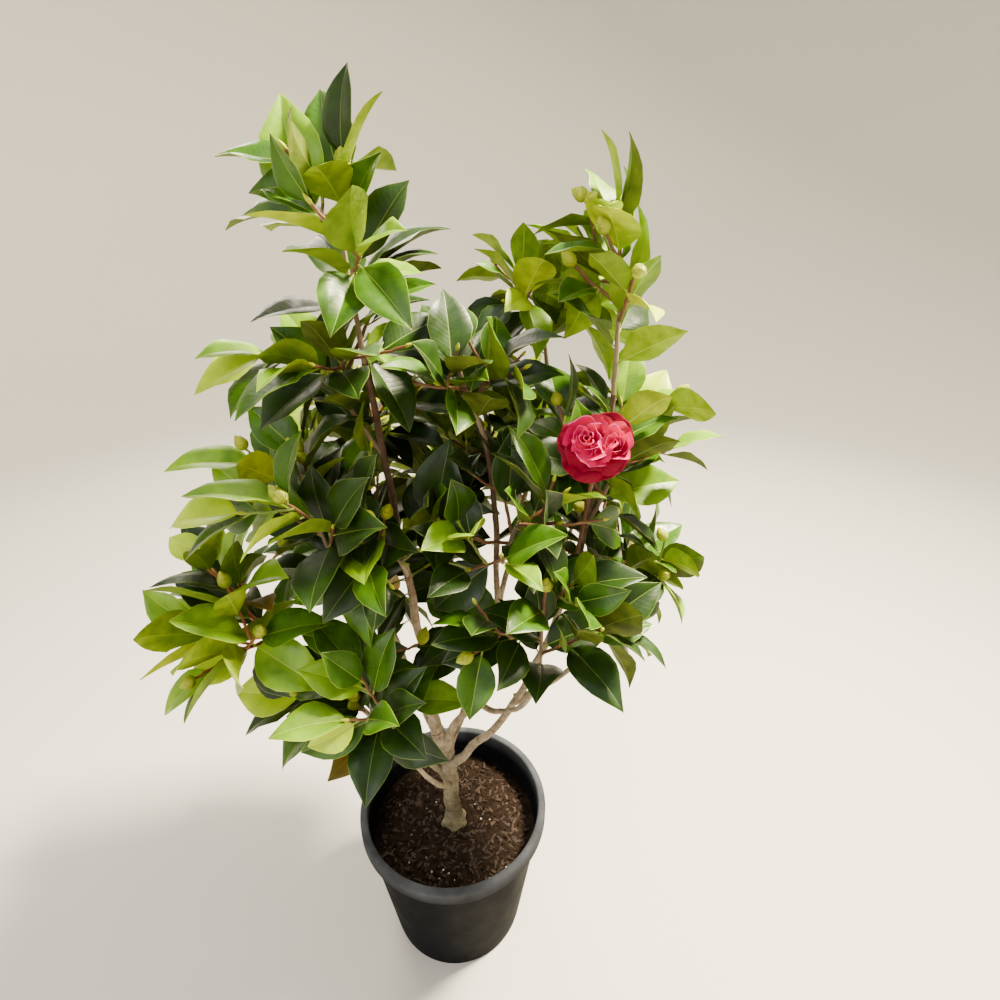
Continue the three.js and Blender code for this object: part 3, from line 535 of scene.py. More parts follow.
def unit(vectors):
    """Directions: vectors divided by their lengths."""
    return vectors / np.linalg.norm(vectors, axis=-1, keepdims=True)


def path_point(knots, share):
    """A path with one bend: its three knots weighted by (1 - t)^2, 2 t (1 - t) and t^2."""
    t = np.asarray(share, float)[..., None]
    return (1 - t) ** 2 * knots[0] + 2 * t * (1 - t) * knots[1] + t**2 * knots[2]


def path_way(knots, share):
    """The direction of that path, along the mix of its two legs at t."""
    t = np.asarray(share, float)[..., None]
    return unit((1 - t) * (knots[1] - knots[0]) + t * (knots[2] - knots[1]))


def tube(points, ways, radii, sides):
    """Rings square to a path: each corner is the point plus r cos a and r sin a along two
    directions that don't twist about the path."""
    mean = unit(ways.mean(-2, keepdims=True))
    level = np.where(abs(mean[..., 2:]) > 0.9, [1.0, 0.0, 0.0], UP)
    side = np.cross(level, mean)
    side = unit(side - (side * ways).sum(-1, keepdims=True) * ways)[..., None, :]
    other = np.cross(ways[..., None, :], side)
    angle = (np.arange(sides) * 2 * np.pi / sides)[:, None]
    return points[..., None, :] + radii[..., None] * (np.cos(angle) * side + np.sin(angle) * other)


def tube_faces(count, rows, sides):
    """Quads of that many tubes of equal rings, and a face at both ends of each."""
    first = np.arange(count)[:, None, None] * rows * sides
    ring = np.arange(sides)[None]
    ends = first[:, 0] + ring + (rows - 1) * sides
    return [
        (grid_quads(rows, sides, True)[None] + first).reshape(-1, 4),
        np.concatenate([(first[:, 0] + ring)[:, ::-1], ends]),
    ]


limbs = {}
for name, (on, at, by, to, foot_size, tip_size) in LIMBS.items():
    foot = path_point(limbs[on]["knots"], at) if on else SOIL_LEVEL * UP
    knots = np.array([foot, by, to], float)
    steps = path_point(knots, np.linspace(0, 1, 201))
    length = np.linalg.norm(np.diff(steps, axis=0), axis=1).sum()
    limbs[name] = {
        "knots": knots, "length": length, "radii": (foot_size, tip_size), "on": on, "at": at}


def limb_radius(limb, share):
    """The radius falls evenly from foot to tip; the trunk's grows at its foot by a square."""
    foot_size, tip_size = limb["radii"]
    flare = 0 if limb["on"] else np.clip(1 - share * limb["length"] / ROOT_FLARE_HEIGHT, 0, 1) ** 2
    return foot_size + (tip_size - foot_size) * share + ROOT_FLARE * flare


def bark_rings(limb, sides, seed):
    """Rings of a limb with its relief: shallow lengthwise ridges, low swellings, a raised
    scar under each place where a leaf once sat, and a collar round its foot."""
    draw = np.random.default_rng(seed)
    overlap = SUNK if limb["on"] is None or limb["at"] == 1 else 0
    far = np.linspace(-overlap, limb["length"], int(limb["length"] / RING_STEP))
    share = far / limb["length"]
    ways = path_way(limb["knots"], np.clip(share, 0, 1))
    points = path_point(limb["knots"], np.clip(share, 0, 1))
    points += np.minimum(far, 0)[:, None] * ways[0]
    radius = limb_radius(limb, np.clip(share, 0, 1))[:, None]
    if limb["on"]:
        slimmer = SLIMNESS + (1 - SLIMNESS) * np.exp(-np.maximum(far, 0) / STOUT_FOOT)
        radius = radius * (slimmer + (TIP_SLIMNESS - SLIMNESS) * np.clip(share, 0, 1) ** 2)[:, None]
    fade = np.clip(np.minimum(far, limb["length"] - far) / WANDER_FROM, 0, 1)[:, None]
    wander = np.stack([waves(far, 0 * far, WANDER_LENGTH, seed + k) for k in range(3)], -1)
    points += fade * WANDER * radius * wander
    angle = np.arange(sides) * 2 * np.pi / sides
    relief = 0
    for high, number, twist in RIDGES:
        shift = 6 * draw.random()
        relief = relief + high * np.sin(number * angle + twist * far[:, None] + shift)
    relief = relief + SWELLING * waves(far, 0 * far, SWELLING_LENGTH, seed + 5)[:, None]
    scars = np.arange(0.5, limb["length"] / SCAR_STEP) * SCAR_STEP
    scars = scars + draw.uniform(-SCAR_SCATTER, SCAR_SCATTER, len(scars)) * SCAR_STEP
    turn = draw.uniform(-SCAR_TURN_SCATTER, SCAR_TURN_SCATTER, len(scars))
    turn = np.radians(SCAR_TURN) * np.arange(len(scars)) + turn
    ridge = np.exp(-(((far[:, None] - scars) / SCAR_WIDTH) ** 2))
    facing = np.clip(np.cos(angle[:, None] - turn), 0, 1) ** 1.5
    raised = SCAR_HEIGHT * np.einsum("rs,as->ra", ridge, facing)
    if limb["on"] is None:
        roots = np.clip(1 - far / (ROOT_RIDGE_RISE * ROOT_FLARE_HEIGHT), 0, 1.3)[:, None] ** 2
        raised = raised + ROOT_RIDGE * roots * np.cos(ROOTS * angle + 0.8 * np.sin(angle))
    elif limb["at"] < 1:
        parent = limb_radius(limbs[limb["on"]], limb["at"])
        clear = np.clip(far - parent, 0, None)[:, None]
        raised = raised + COLLAR * radius * np.exp(-clear / (COLLAR_LENGTH * radius))
    return tube(points, ways, radius * (1 + relief) + raised, sides)


bark, shader = new_material("smooth shrub bark", "#988a76", 0.8, Specular_IOR_Level=0.2)
# Grey-tan skin with browner patches and faint lengthwise cracks; a green film near the compost,
# and red-brown higher up where the stems are younger
place = add_node(bark, "TexCoord", {}, {}).outputs["Object"]
tints = mottled(bark, place, 0.016, 6.0, 0.65, (0.32, "#5f5142"), (0.66, "#a69983"))
stretched = add_node(bark, "Mapping", {}, {"Vector": place, "Scale": (1.0, 1.0, 0.12)})
cracks = add_node(bark, "TexVoronoi", {"feature": "DISTANCE_TO_EDGE"}, {
    "Vector": stretched.outputs[0], "Scale": 1 / 0.0035})
dark = add_node(bark, "MapRange", {}, {
    "Value": cracks.outputs["Distance"], "From Min": 0.0, "From Max": 0.12, "To Min": 0.55})
cracked = add_node(bark, "Mix", {"data_type": "RGBA", "blend_type": "MULTIPLY"}, {
    0: 0.55, 6: tints, 7: dark.outputs[0]})
low = add_node(bark, "SeparateXYZ", {}, {"Vector": place}).outputs["Z"]
film = add_node(bark, "MapRange", {}, {
    "Value": low, "From Min": 0.24, "From Max": 0.42, "To Min": 0.45, "To Max": 0.0})
mossy = add_node(bark, "Mix", {"data_type": "RGBA"}, {
    0: film.outputs[0], 6: cracked.outputs[2], 7: (*linear("#5c5b36"), 1)})
young = add_node(bark, "MapRange", {}, {
    "Value": low, "From Min": 0.56, "From Max": 0.92, "To Max": 0.72})
browner = add_node(bark, "Mix", {"data_type": "RGBA"}, {
    0: young.outputs[0], 6: mossy.outputs[2], 7: (*linear("#5c3c2a"), 1)})
feed(bark, shader, "Base Color", browner.outputs[2])
fine = add_node(bark, "TexNoise", {}, {
    "Vector": stretched.outputs[0], "Scale": 1 / 0.0016, "Detail": 5.0})
height = add_node(bark, "Math", {"operation": "ADD"}, {0: fine.outputs["Fac"], 1: dark.outputs[0]})
bump = add_node(bark, "Bump", {}, {"Height": height.outputs[0], "Strength": 0.7, "Distance": 0.0008})
feed(bark, shader, "Normal", bump.outputs[0])

parts, faces, first = [], [], 0
for seed, (name, limb) in enumerate(limbs.items()):
    sides = LIMB_SIDES if limb["on"] else TRUNK_SIDES
    rings = bark_rings(limb, sides, 100 + 10 * seed)
    faces += [part + first for part in tube_faces(1, len(rings), sides)]
    parts.append(rings.reshape(-1, 3))
    first += len(parts[-1])
wood = add_piece("limbs_bark", MM * np.concatenate(parts), faces, [bark], sharp=50)
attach(wood, "root")
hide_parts(*LIMBS)

# The growth: a plan of every twig, leaf and bud, from which the next sections make their meshes.
# Eighteen masses grow from the limbs, each in its own space, first in few stout flushes of
# growth and then in four rounds of finer ones, wherever shoots and leaves still find room.
# In turn: the limb that the mass is on and at what share, the middle and half sizes of the
# ellipsoid that it keeps to, the seed of its growth, the flower buds at its leading tip and
# how many shoots it has in the end
MASSES = {
    "top_left": ("stem_left", 1, (-66, -76, 1172), (118, 112, 148), 1898, 0, 9),
    "top_right": ("stem_right", 1, (214, 0, 1140), (112, 112, 146), 965, 0, 9),
    "middle": ("stem_middle", 0.72, (95, -75, 862), (155, 147, 145), 1, 0, 16),
    "left": ("bough_left", 1, (-135, -82, 905), (160, 150, 145), 14, 5, 14),
    "low_left": ("bough_low_left", 1, (-218, -100, 755), (165, 155, 147), 50, 0, 14),
    "low_front": ("bough_low_front", 1, (-85, -140, 645), (165, 140, 165), 31, 4, 14),
    "front": ("bough_front", 1, (130, -125, 760), (160, 135, 150), 21, 0, 15),
    "right": ("bough_right", 1, (215, -5, 755), (157, 155, 147), 67, 0, 15),
    "inner_left": ("stem_left", 0.55, (-50, -60, 850), (155, 150, 145), 33, 0, 15),
    "top_middle": ("stem_middle", 1, (48, -48, 1020), (135, 130, 118), 57, 0, 12),
    "collar_left": ("stem_left", 0.84, (-85, -52, 1015), (173, 157, 137), 12, 0, 13),
    "collar_right": ("stem_right", 0.8, (225, -20, 930), (163, 155, 147), 72, 0, 13),
    "rear_top": ("stem_rear", 1, (140, 140, 1068), (150, 147, 140), 38, 0, 13),
    "rear_right": ("bough_rear_right", 1, (198, 140, 832), (160, 155, 153), 8, 0, 16),
    "rear_inner": ("stem_rear", 0.75, (50, 150, 900), (165, 157, 145), 90, 0, 22),
    "rear_left": ("bough_rear_left", 1, (-130, 110, 900), (170, 163, 153), 32, 0, 17),
    "rear": ("bough_rear", 1, (5, 180, 742), (170, 150, 147), 17, 0, 20),
    "low_rear": ("bough_rear_left", 0.55, (-130, 80, 692), (170, 155, 137), 33, 0, 18),
}
BLOOM_CENTRE = np.array([182.0, -104.0, 985.0])
BLOOM_FACING = unit(np.array([-0.25, -0.78, 0.58]))
BLOOM_ON = "stem_right"
BLOOM_AT = 0.72
BLOOM_RADIUS = 43
BLOOM_TWIG_RADIUS = 3.2
BLOOM_TWIG_END = 12

FLUSH_LENGTH = 86
FLUSH_RANGE = (0.85, 1.15)
FIRST_ORDER_LENGTH = 1.1
SIDE_ORDER_LENGTH = 0.85
SHORTENED = (1, 0.8, 0.62)
SHOOT_RISE = 0.16
SHOOT_RADIUS = 3.4
LEADER_BEND = (8, 20)
SIDE_SHOOTS = 3
SIDE_SHOOT_TOP = 0.96
SIDE_SHOOT_STEP = 0.22
SIDE_SHOOT_ANGLE = (48, 64)
SIDE_SHOOT_TURN = 137.5
SIDE_SHOOT_SCATTER = 30
STEEPEST_FALL = -0.15
# Shoots of a mass, orders of branching, how far in from its edge a tip ends, and how far apart
FIRST_GROWTH = {"most": 6, "orders": 3, "inset": 72, "spacing": 50, "room": 7}
FINER_GROWTH = {"orders": 5, "inset": 42, "spacing": 34, "room": 5}
ROUNDS = 4
# Where on its shoots, in steps below their tops, a mass wakes sleeping buds in each round, how
# far they open and how far each round turns them on
SLEEPING_BUDS = ((), (0.4, 1.7), (0.4, 1.7), (1.1, 2.4, 3.1))
SLEEPING_OPENING = 0.8
SLEEPING_TURN = 0.5
TIP_ROOM = 12

LEAF_LENGTH = 83
LEAF_RANGE = (0.84, 1.14)
TIP_LEAF_LENGTH = 0.9
LEAF_HALF_WIDTH = 0.27
LEAF_WIDTH_RANGE = (0.92, 1.12)
LEAF_FOLD = (0.22, 0.42)
LEAF_CURL = (0.08, 0.2)
PETIOLE = 9
LEAVES_PER_SHOOT = (4, 6)
EXTRA_LEAVES = 1
LEAFY_SHARE = 0.66
CROWDING = 1.1
LEAF_TURN = 144
LEAF_TURN_SCATTER = 24
SPREAD_REACHED_AT = 3.5
SPREAD_SCATTER = 20
# How far leaves spread, how much they droop and how far they may roll about their midrib
FIRST_HABIT = ((16, 60), 0.26, 0)
LOOSE_HABIT = ((14, 52), 0.16, 52)
FINER_HABIT = ((14, 50), 0.1, 64)
LEAST_DROOP = 0.2
FACING_AXIS = 0.35
FACING_UP = 0.6
FACING_OUT = 0.5
# How a leaf that finds no room is turned about its shoot, laid closer along it and kept smaller
FIRST_SHIFTS = ((0, 1, 1), (36, 1, 1), (-36, 1, 1), (0, 0.6, 1), (60, 0.8, 1), (-60, 0.8, 1))
FINER_SHIFTS = FIRST_SHIFTS + (
    (90, 1, 0.9), (-90, 1, 0.9), (0, 1.3, 0.75), (130, 0.8, 0.75), (-130, 0.8, 0.75))

BUD_LENGTH = 17
BUD_RANGE = (0.85, 1.15)
BUD_RADIUS = 6.5
BUD_COUNTS = (0, 0, 0, 0, 1, 1, 2)
BUD_STEP = 0.05
BUD_LEAN = (38, 60)
LONE_BUD_LEAN = (0, 14)
BUD_TURN = (72, 140)
BUD_SINK = 1.6
BUD_SPACING = 11
BUD_ROOM = 2
# Buds that stand alone at the top of a named mass's shoot, and how far they lean from it
LONE_BUDS = (("top_left", 0, 55), ("top_left", 1, 40), ("collar_left", 0, 50), ("top_middle", 0, 50))

# Where a stem shows through the leaves: the stem, from what share of it to what, and its way
# open to the front
OPEN_WAYS = (
    ("stem_left", 0.36, 0.58), ("stem_left", 0.72, 0.84), ("stem_left", 0.88, 0.96),
    ("stem_middle", 0.68, 0.8), ("stem_middle", 0.86, 0.98), ("stem_right", 0.76, 0.83),
)
OPEN_STEP = 12
OPEN_LENGTH = 240
OPEN_RADIUS = 5

LEAF_CLEARANCE = 7
LEAF_GAP = 3
BLADE_MARGIN = 0.02
BLADE_FROM = 0.06
MASS_CLEARANCE = 1
SHOOT_CLEARANCE = 2
NEAR = 170
BOX_ROOM = 0.3


def stream(seed, count):
    """The first numbers from 0 to 1 of a repeatable stream: a counter whose bits are mixed by
    two multiplications of 32 bits."""
    state, values = seed * 7919 + 17, []
    for _ in range(count):
        state = (state + 0x6D2B79F5) & 0xFFFFFFFF
        t = (state ^ state >> 15) * (1 | state) & 0xFFFFFFFF
        t = (t + ((t ^ t >> 7) * (61 | t) & 0xFFFFFFFF) & 0xFFFFFFFF) ^ t
        values.append((t ^ t >> 14) / 2**32)
    return values


def between(ends, share):
    """What lies at a share of the way from one end to the other."""
    return ends[0] + (ends[1] - ends[0]) * share


def shoot_point(shoot, share):
    """A shoot runs along its heading, and rises off it slowly up to its middle, then faster."""
    share = np.asarray(share, float)[..., None]
    rise = np.where(share < 0.5, share / 2, 1.5 * share - 0.5)
    return shoot["start"] + shoot["length"] * (share * shoot["heading"] + SHOOT_RISE * rise * UP)


def shoot_way(shoot, share):
    """Its direction there: its heading, turned upwards by twice its rise times the share."""
    return unit(shoot["heading"] + 2 * SHOOT_RISE * np.asarray(share, float)[..., None] * UP)


def turned_from(axis, angle, turn):
    """A direction at an angle to an axis, turned about it from level; both in degrees."""
    level = np.array([1.0, 0.0, 0.0]) if abs(axis[2]) > 0.95 else UP
    side = unit(np.cross(level, axis))
    out = math.cos(math.radians(turn)) * side + math.sin(math.radians(turn)) * np.cross(axis, side)
    return math.cos(math.radians(angle)) * axis + math.sin(math.radians(angle)) * out


def box_around(points, axes, margin):
    """The box round some points along three directions: its middle, directions and halves."""
    places = points @ axes.T
    low, high = places.min(0), places.max(0)
    return (low + high) / 2 @ axes, axes, (high - low) / 2 + margin


def is_free(box, filled):
    """Whether every filled box is apart from this one: some face normal, or the cross of two
    edges, separates each pair by the clearance."""
    if filled is None:
        return True
    middle, axes, half = box
    way = filled[0] - middle
    reach = np.linalg.norm(half) + np.linalg.norm(filled[2], axis=1) + MASS_CLEARANCE
    close = np.linalg.norm(way, axis=1) <= reach
    way, others, halves = way[close], filled[1][close], filled[2][close]
    own = np.broadcast_to(axes, others.shape)
    crossed = np.cross(own[:, :, None], others[:, None]).reshape(-1, 9, 3)
    tried = np.concatenate([own, others, crossed], 1)
    size = np.linalg.norm(tried, axis=2)
    spread = (abs(np.einsum("ndx,kx->ndk", tried, axes)) * half).sum(2)
    spread = spread + (abs(np.einsum("ndx,nkx->ndk", tried, others)) * halves[:, None]).sum(2)
    split = abs(np.einsum("ndx,nx->nd", tried, way)) > spread + MASS_CLEARANCE * size
    return bool((split & (size >= 1e-3)).any(1).all())


def to_segments(points, starts, ends):
    """For points and segments, the nearest share along each segment and the distance to it."""
    along = ends - starts
    from_start = points[:, None] - starts
    share = np.clip((from_start * along).sum(-1) / (along**2).sum(-1), 0, 1)
    return share, np.linalg.norm(from_start - share[..., None] * along, axis=-1)


bloom_foot = path_point(limbs[BLOOM_ON]["knots"], BLOOM_AT)
bloom_back = BLOOM_CENTRE - BLOOM_TWIG_END * BLOOM_FACING
solid_parts = [
    ("bloom", BLOOM_CENTRE, BLOOM_CENTRE + 2 * BLOOM_RADIUS * BLOOM_FACING, BLOOM_RADIUS, BLOOM_RADIUS),
    ("bloom", bloom_foot, bloom_back, BLOOM_TWIG_RADIUS, BLOOM_TWIG_RADIUS),
]
for name, limb in limbs.items():
    steps = max(3, math.floor(limb["length"] / LIMB_STEP + 0.5))
    share = np.arange(steps + 1) / steps
    if not limb["on"]:
        share = np.insert(share, 1, np.array([FLARE_RING, 1]) * ROOT_FLARE_HEIGHT / limb["length"])
    points, size = path_point(limb["knots"], share), limb_radius(limb, share)
    solid_parts += [(name, *ends) for ends in zip(points, points[1:], size, size[1:])]
part_names = np.array([part[0] for part in solid_parts])
part_starts, part_ends = (np.array([part[k] for part in solid_parts]) for k in (1, 2))
part_radii = np.array([part[3:] for part in solid_parts], float)


def room_from_limbs(points, skipped=None):
    """How far points lie from the bloom and from the bark of the nearest limb."""
    share, far = to_segments(points, part_starts, part_ends)
    room = far - part_radii[:, 0] - share * (part_radii[:, 1] - part_radii[:, 0])
    return room[:, part_names != skipped].min()


ways_to_eye = []
for name, low, high in OPEN_WAYS:
    count = int((high - low) * limbs[name]["length"] / OPEN_STEP) + 2
    ways_to_eye.append(path_point(limbs[name]["knots"], np.linspace(low, high, count)))
open_starts = np.concatenate(ways_to_eye)
open_ends = open_starts + OPEN_LENGTH * unit(np.array(EYE) / MM - open_starts)


def hides_stem(leaf):
    """Whether a leaf stands in one of the ways that let a stem be seen from the front."""
    _, far = to_segments(leaf["points"], open_starts, open_ends)
    return far.min() < OPEN_RADIUS


def is_inside(mass, points, inset=0.0):
    """Whether points lie in a mass's ellipsoid, made smaller by the inset: the squares of their
    distances along its three axes, as shares of its half sizes, add up to less than one."""
    return bool(((((points - mass["middle"]) / (mass["reach"] - inset)) ** 2).sum(-1) < 1).all())


def blade_half_width(width, along):
    """An oval with its widest place a little below the middle and a pointed tip."""
    return width * np.sin(np.pi * np.clip(along, 0, 1) ** 0.86) ** 0.72


BLADE_ROWS = 8
BLADE_ACROSS = np.array([-1, -0.5, 0, 0.5, 1])
blade_along = np.repeat(np.arange(BLADE_ROWS) / (BLADE_ROWS - 1), len(BLADE_ACROSS))
blade_across = np.tile(BLADE_ACROSS, BLADE_ROWS)
numbers = np.arange(len(blade_along)).reshape(BLADE_ROWS, -1)
BLADE_EDGES = np.concatenate([
    np.stack([numbers[:, :-1], numbers[:, 1:]], -1).reshape(-1, 2),
    np.stack([numbers[:-1], numbers[1:]], -1).reshape(-1, 2),
])
TWIG_SHARES = np.linspace(0.15, 1, 7)
TWIG_EDGES = np.stack([np.arange(6), np.arange(1, 7)], -1)


def cuts_through(points, blade, edges):
    """Whether edges between points pass through blades: one end is above a blade's folded and
    curled surface and the other below it, or both are close, where it is within the outline."""
    base, axes, size = blade
    length, width, fold, curl = (size[..., k : k + 1] for k in range(4))
    local = (points - base[..., None, :]) @ np.swapaxes(axes, -1, -2)
    along, across = local[..., 0] / length, local[..., 1] / length
    above = local[..., 2] - length * (fold * abs(across) - curl * along**2)
    p, q = above[..., edges[:, 0]], above[..., edges[:, 1]]
    crosses = (p * q <= 0) | (np.minimum(abs(p), abs(q)) <= LEAF_GAP)
    share = np.clip(p / (p - q + 1e-9), 0, 1)
    along = along[..., edges[:, 0]] * (1 - share) + along[..., edges[:, 1]] * share
    across = across[..., edges[:, 0]] * (1 - share) + across[..., edges[:, 1]] * share
    on_blade = (along > BLADE_FROM) & (along < 1 + BLADE_MARGIN)
    return crosses & on_blade & (abs(across) < blade_half_width(width, along) + BLADE_MARGIN)


def stacked(leaves):
    """The places, directions, sizes and points of some leaves, as arrays."""
    return [np.array([leaf[key] for leaf in leaves]) for key in ("base", "axes", "size", "points")]


def leaf_fits(mass, leaf, others, twigs, filled, room):
    """Room for a leaf: inside its mass and the plant's box, clear of limbs and twigs, through
    no other leaf, and in no filled box."""
    points = leaf["points"]
    if not is_inside(mass, points) or (points < box_low).any() or (points > box_high).any():
        return False
    if room_from_limbs(points) <= room:
        return False
    if len(others[0]):
        if cuts_through(points, others[:3], BLADE_EDGES).any():
            return False
        if cuts_through(others[3], (leaf["base"], leaf["axes"], leaf["size"]), BLADE_EDGES).any():
            return False
    if len(twigs[0]):
        _, far = to_segments(points[2 * len(BLADE_ACROSS) :], *twigs)
        if far.min() < SHOOT_RADIUS + SHOOT_CLEARANCE:
            return False
    return is_free(leaf["box"], filled)


def leaf_on(mass, shoot, habit, k, count, draws, shift, closer, smaller):
    """Leaf k of a shoot: crowded and steep at its tip, wider apart and more level below, in a
    spiral, with its face turned to the light and its droop its own."""
    share = 1 - LEAFY_SHARE * (k / count) ** CROWDING
    axis = shoot_way(shoot, share)
    opening, droop, roll = habit
    spread = between(opening, min(1, k / SPREAD_REACHED_AT)) + SPREAD_SCATTER * (draws[0] - 0.5)
    turn = shoot["turn"] + LEAF_TURN * k + LEAF_TURN_SCATTER * (draws[2] - 0.5) + shift
    along = turned_from(axis, spread * closer, turn)
    along = unit(along - droop * (LEAST_DROOP + draws[3] ** 3) * UP)
    top = FACING_AXIS * axis + FACING_UP * UP + FACING_OUT * unit(mass["middle"] * [1, 1, 0])
    top = unit(top - (top @ along) * along)
    rolled = math.radians(roll * (draws[1] + draws[2] - 1))
    top = math.cos(rolled) * top + math.sin(rolled) * np.cross(along, top)
    axes = np.array([along, np.cross(top, along), top])
    length = LEAF_LENGTH * between(LEAF_RANGE, draws[1]) * (1 if k else TIP_LEAF_LENGTH) * smaller
    width = LEAF_HALF_WIDTH * between(LEAF_WIDTH_RANGE, draws[4])
    fold, curl = between(LEAF_FOLD, draws[0]), between(LEAF_CURL, draws[3])
    base = shoot_point(shoot, share) + PETIOLE * along
    across = blade_across * blade_half_width(width, blade_along)
    height = fold * abs(across) - curl * blade_along**2
    points = base + length * np.stack([blade_along, across, height], -1) @ axes
    return {
        "shoot": shoot, "k": k, "base": base, "axes": axes, "points": points,
        "size": np.array([length, width, fold, curl]), "middle": points.mean(0),
        "box": box_around(points, axes, MASS_CLEARANCE),
        "drawn": (k, count, draws, shift, closer, smaller),
    }


def grow_leaves(mass, shoots, extra, habit, shifts, others, twigs_of, filled, room, is_clear):
    """Each shoot's leaves in turn, each in the first of its positions that has room."""
    grown = []
    for shoot in shoots:
        seed = 1000 * mass["seed"] + 400 + shoot["number"]
        draws = stream(seed, 1 + 5 * (LEAVES_PER_SHOOT[1] + extra))
        count = int(between(LEAVES_PER_SHOOT, draws[0]))
        missing = [k for k in range(count + extra) if k not in shoot["leaves"]]
        rest, twigs = stacked(others(shoot) + grown), twigs_of(shoot)
        for k in missing:
            for shift in shifts:
                leaf = leaf_on(mass, shoot, habit, k, count, draws[1 + 5 * k : 6 + 5 * k], *shift)
                if leaf_fits(mass, leaf, rest, twigs, filled, room) and is_clear(leaf):
                    grown.append(leaf)
                    shoot["leaves"][k] = leaf
                    more = stacked([leaf])
                    rest = [np.concatenate(pair) for pair in zip(rest, more)] if len(rest[0]) else more
                    break
    return grown


def side_shoot(shoot, k, opening, scatter):
    """The place and heading of side shoot k, which leaves its shoot k steps below its top."""
    share = SIDE_SHOOT_TOP - SIDE_SHOOT_STEP * k
    turn = shoot["turn"] + SIDE_SHOOT_TURN * (k + 1) + SIDE_SHOOT_SCATTER * scatter
    heading = turned_from(shoot_way(shoot, share), between(SIDE_SHOOT_ANGLE, opening), turn)
    heading[2] = max(heading[2], STEEPEST_FALL)
    return {
        "start": shoot_point(shoot, share), "heading": unit(heading),
        "order": shoot["order"] + 1, "flush": 0, "parent": shoot,
    }


def grow_shoots(mass, rule, most, shoot_fits):
    """Shoots of a mass from its queue. A tip bears the next flush and its outer half the side
    shoots, in a spiral; one that finds no room in any of its lengths waits for finer growth."""
    grown, refused, held = [], [], []
    while mass["queue"] and len(mass["shoots"]) < most:
        shoot = mass["queue"].pop(0)
        if "number" not in shoot:
            shoot["number"] = mass["next"]
            mass["next"] += 1
        draws = stream(1000 * mass["seed"] + shoot["number"], 8)
        wanted = FLUSH_LENGTH * between(FLUSH_RANGE, draws[0])
        wanted *= SIDE_ORDER_LENGTH if shoot["order"] else FIRST_ORDER_LENGTH
        for part in SHORTENED:
            shoot["length"] = wanted * part
            if shoot_fits(mass, shoot, rule):
                break
        else:
            refused.append(shoot)
            continue
        shoot["mass"] = mass
        shoot["turn"] = 360 * draws[1]
        shoot["leaves"] = {}
        shoot["tip"] = shoot_point(shoot, 1)
        mass["shoots"].append(shoot)
        grown.append(shoot)
        next_ones = [{
            "start": shoot_point(shoot, 1),
            "heading": turned_from(shoot_way(shoot, 1), between(LEADER_BEND, draws[2]), 360 * draws[3]),
            "order": shoot["order"], "flush": shoot["flush"] + 1, "parent": shoot,
        }]
        next_ones += [side_shoot(shoot, k, draws[4 + k], draws[7]) for k in range(SIDE_SHOOTS)]
        early = shoot["order"] + shoot["flush"] < rule["orders"]
        (mass["queue"] if early else held).extend(next_ones)
    mass["queue"] = refused + mass["queue"] + held
    return grown


def grow_buds(mass, shoots, filled, leaves):
    """Flower buds, singly or in a cluster round a tip, where no leaf or limb is near."""
    grown, box_middle = [], (box_low + box_high) / 2
    for shoot in shoots:
        draws = stream(1000 * mass["seed"] + 800 + shoot["number"], 22)
        count = BUD_COUNTS[int(len(BUD_COUNTS) * draws[0])]
        leads_on = any(o["parent"] is shoot and o["order"] == 0 for o in mass["shoots"])
        if shoot["order"] == 0 and not leads_on:
            count = mass["cluster"] or count
        for k in range(count):
            drawn = draws[1 + 3 * k : 4 + 3 * k]
            share = 1 - BUD_STEP * k
            length = BUD_LENGTH * between(BUD_RANGE, drawn[0])
            lean = between(BUD_LEAN if count > 1 else LONE_BUD_LEAN, drawn[1])
            turn = shoot["turn"] + BUD_TURN[0] + BUD_TURN[1] * k
            along = turned_from(shoot_way(shoot, share), lean, turn)
            base = shoot_point(shoot, share) - BUD_SINK * along
            middle = base + along * length / 2
            side = turned_from(along, 90, 0)
            axes = np.array([along, side, np.cross(along, side)])
            box = (middle, axes, np.array([length / 2, BUD_RADIUS, BUD_RADIUS]))
            if (
                is_inside(mass, middle)
                and (abs(middle - box_middle) < (box_high - box_low) / 2 - length / 2).all()
                and room_from_limbs(middle[None]) > LEAF_CLEARANCE + BUD_RADIUS
                and is_free(box, filled)
                and all(np.linalg.norm(o["middle"] - middle) > BUD_SPACING for o in grown)
                and all(np.linalg.norm(o["points"] - middle, axis=1).min() > BUD_RADIUS for o in leaves)
            ):
                grown.append({"shoot": shoot, "base": base, "along": along, "length": length,
                              "middle": middle, "box": box})
    return grown


def first_fits(mass, shoot, rule):
    """Room for a stout shoot: its tip well within its mass and apart from other tips."""
    end = shoot_point(shoot, 1)
    on = mass["on"] if shoot["parent"] is None else None
    along = shoot_way(shoot, 0.5)
    side = turned_from(along, 90, 0)
    axes = np.array([along, side, np.cross(along, side)])
    shoot["box"] = box_around(shoot_point(shoot, [0, 0.5, 1]), axes, SHOOT_RADIUS)
    return (
        is_inside(mass, end, rule["inset"])
        and room_from_limbs(shoot_point(shoot, [0.4, 0.6, 0.8, 1]), on) > rule["room"]
        and all(o is shoot["parent"] or np.linalg.norm(o["tip"] - end) > rule["spacing"]
                for o in mass["shoots"])
        and is_free(shoot["box"], filled)
    )


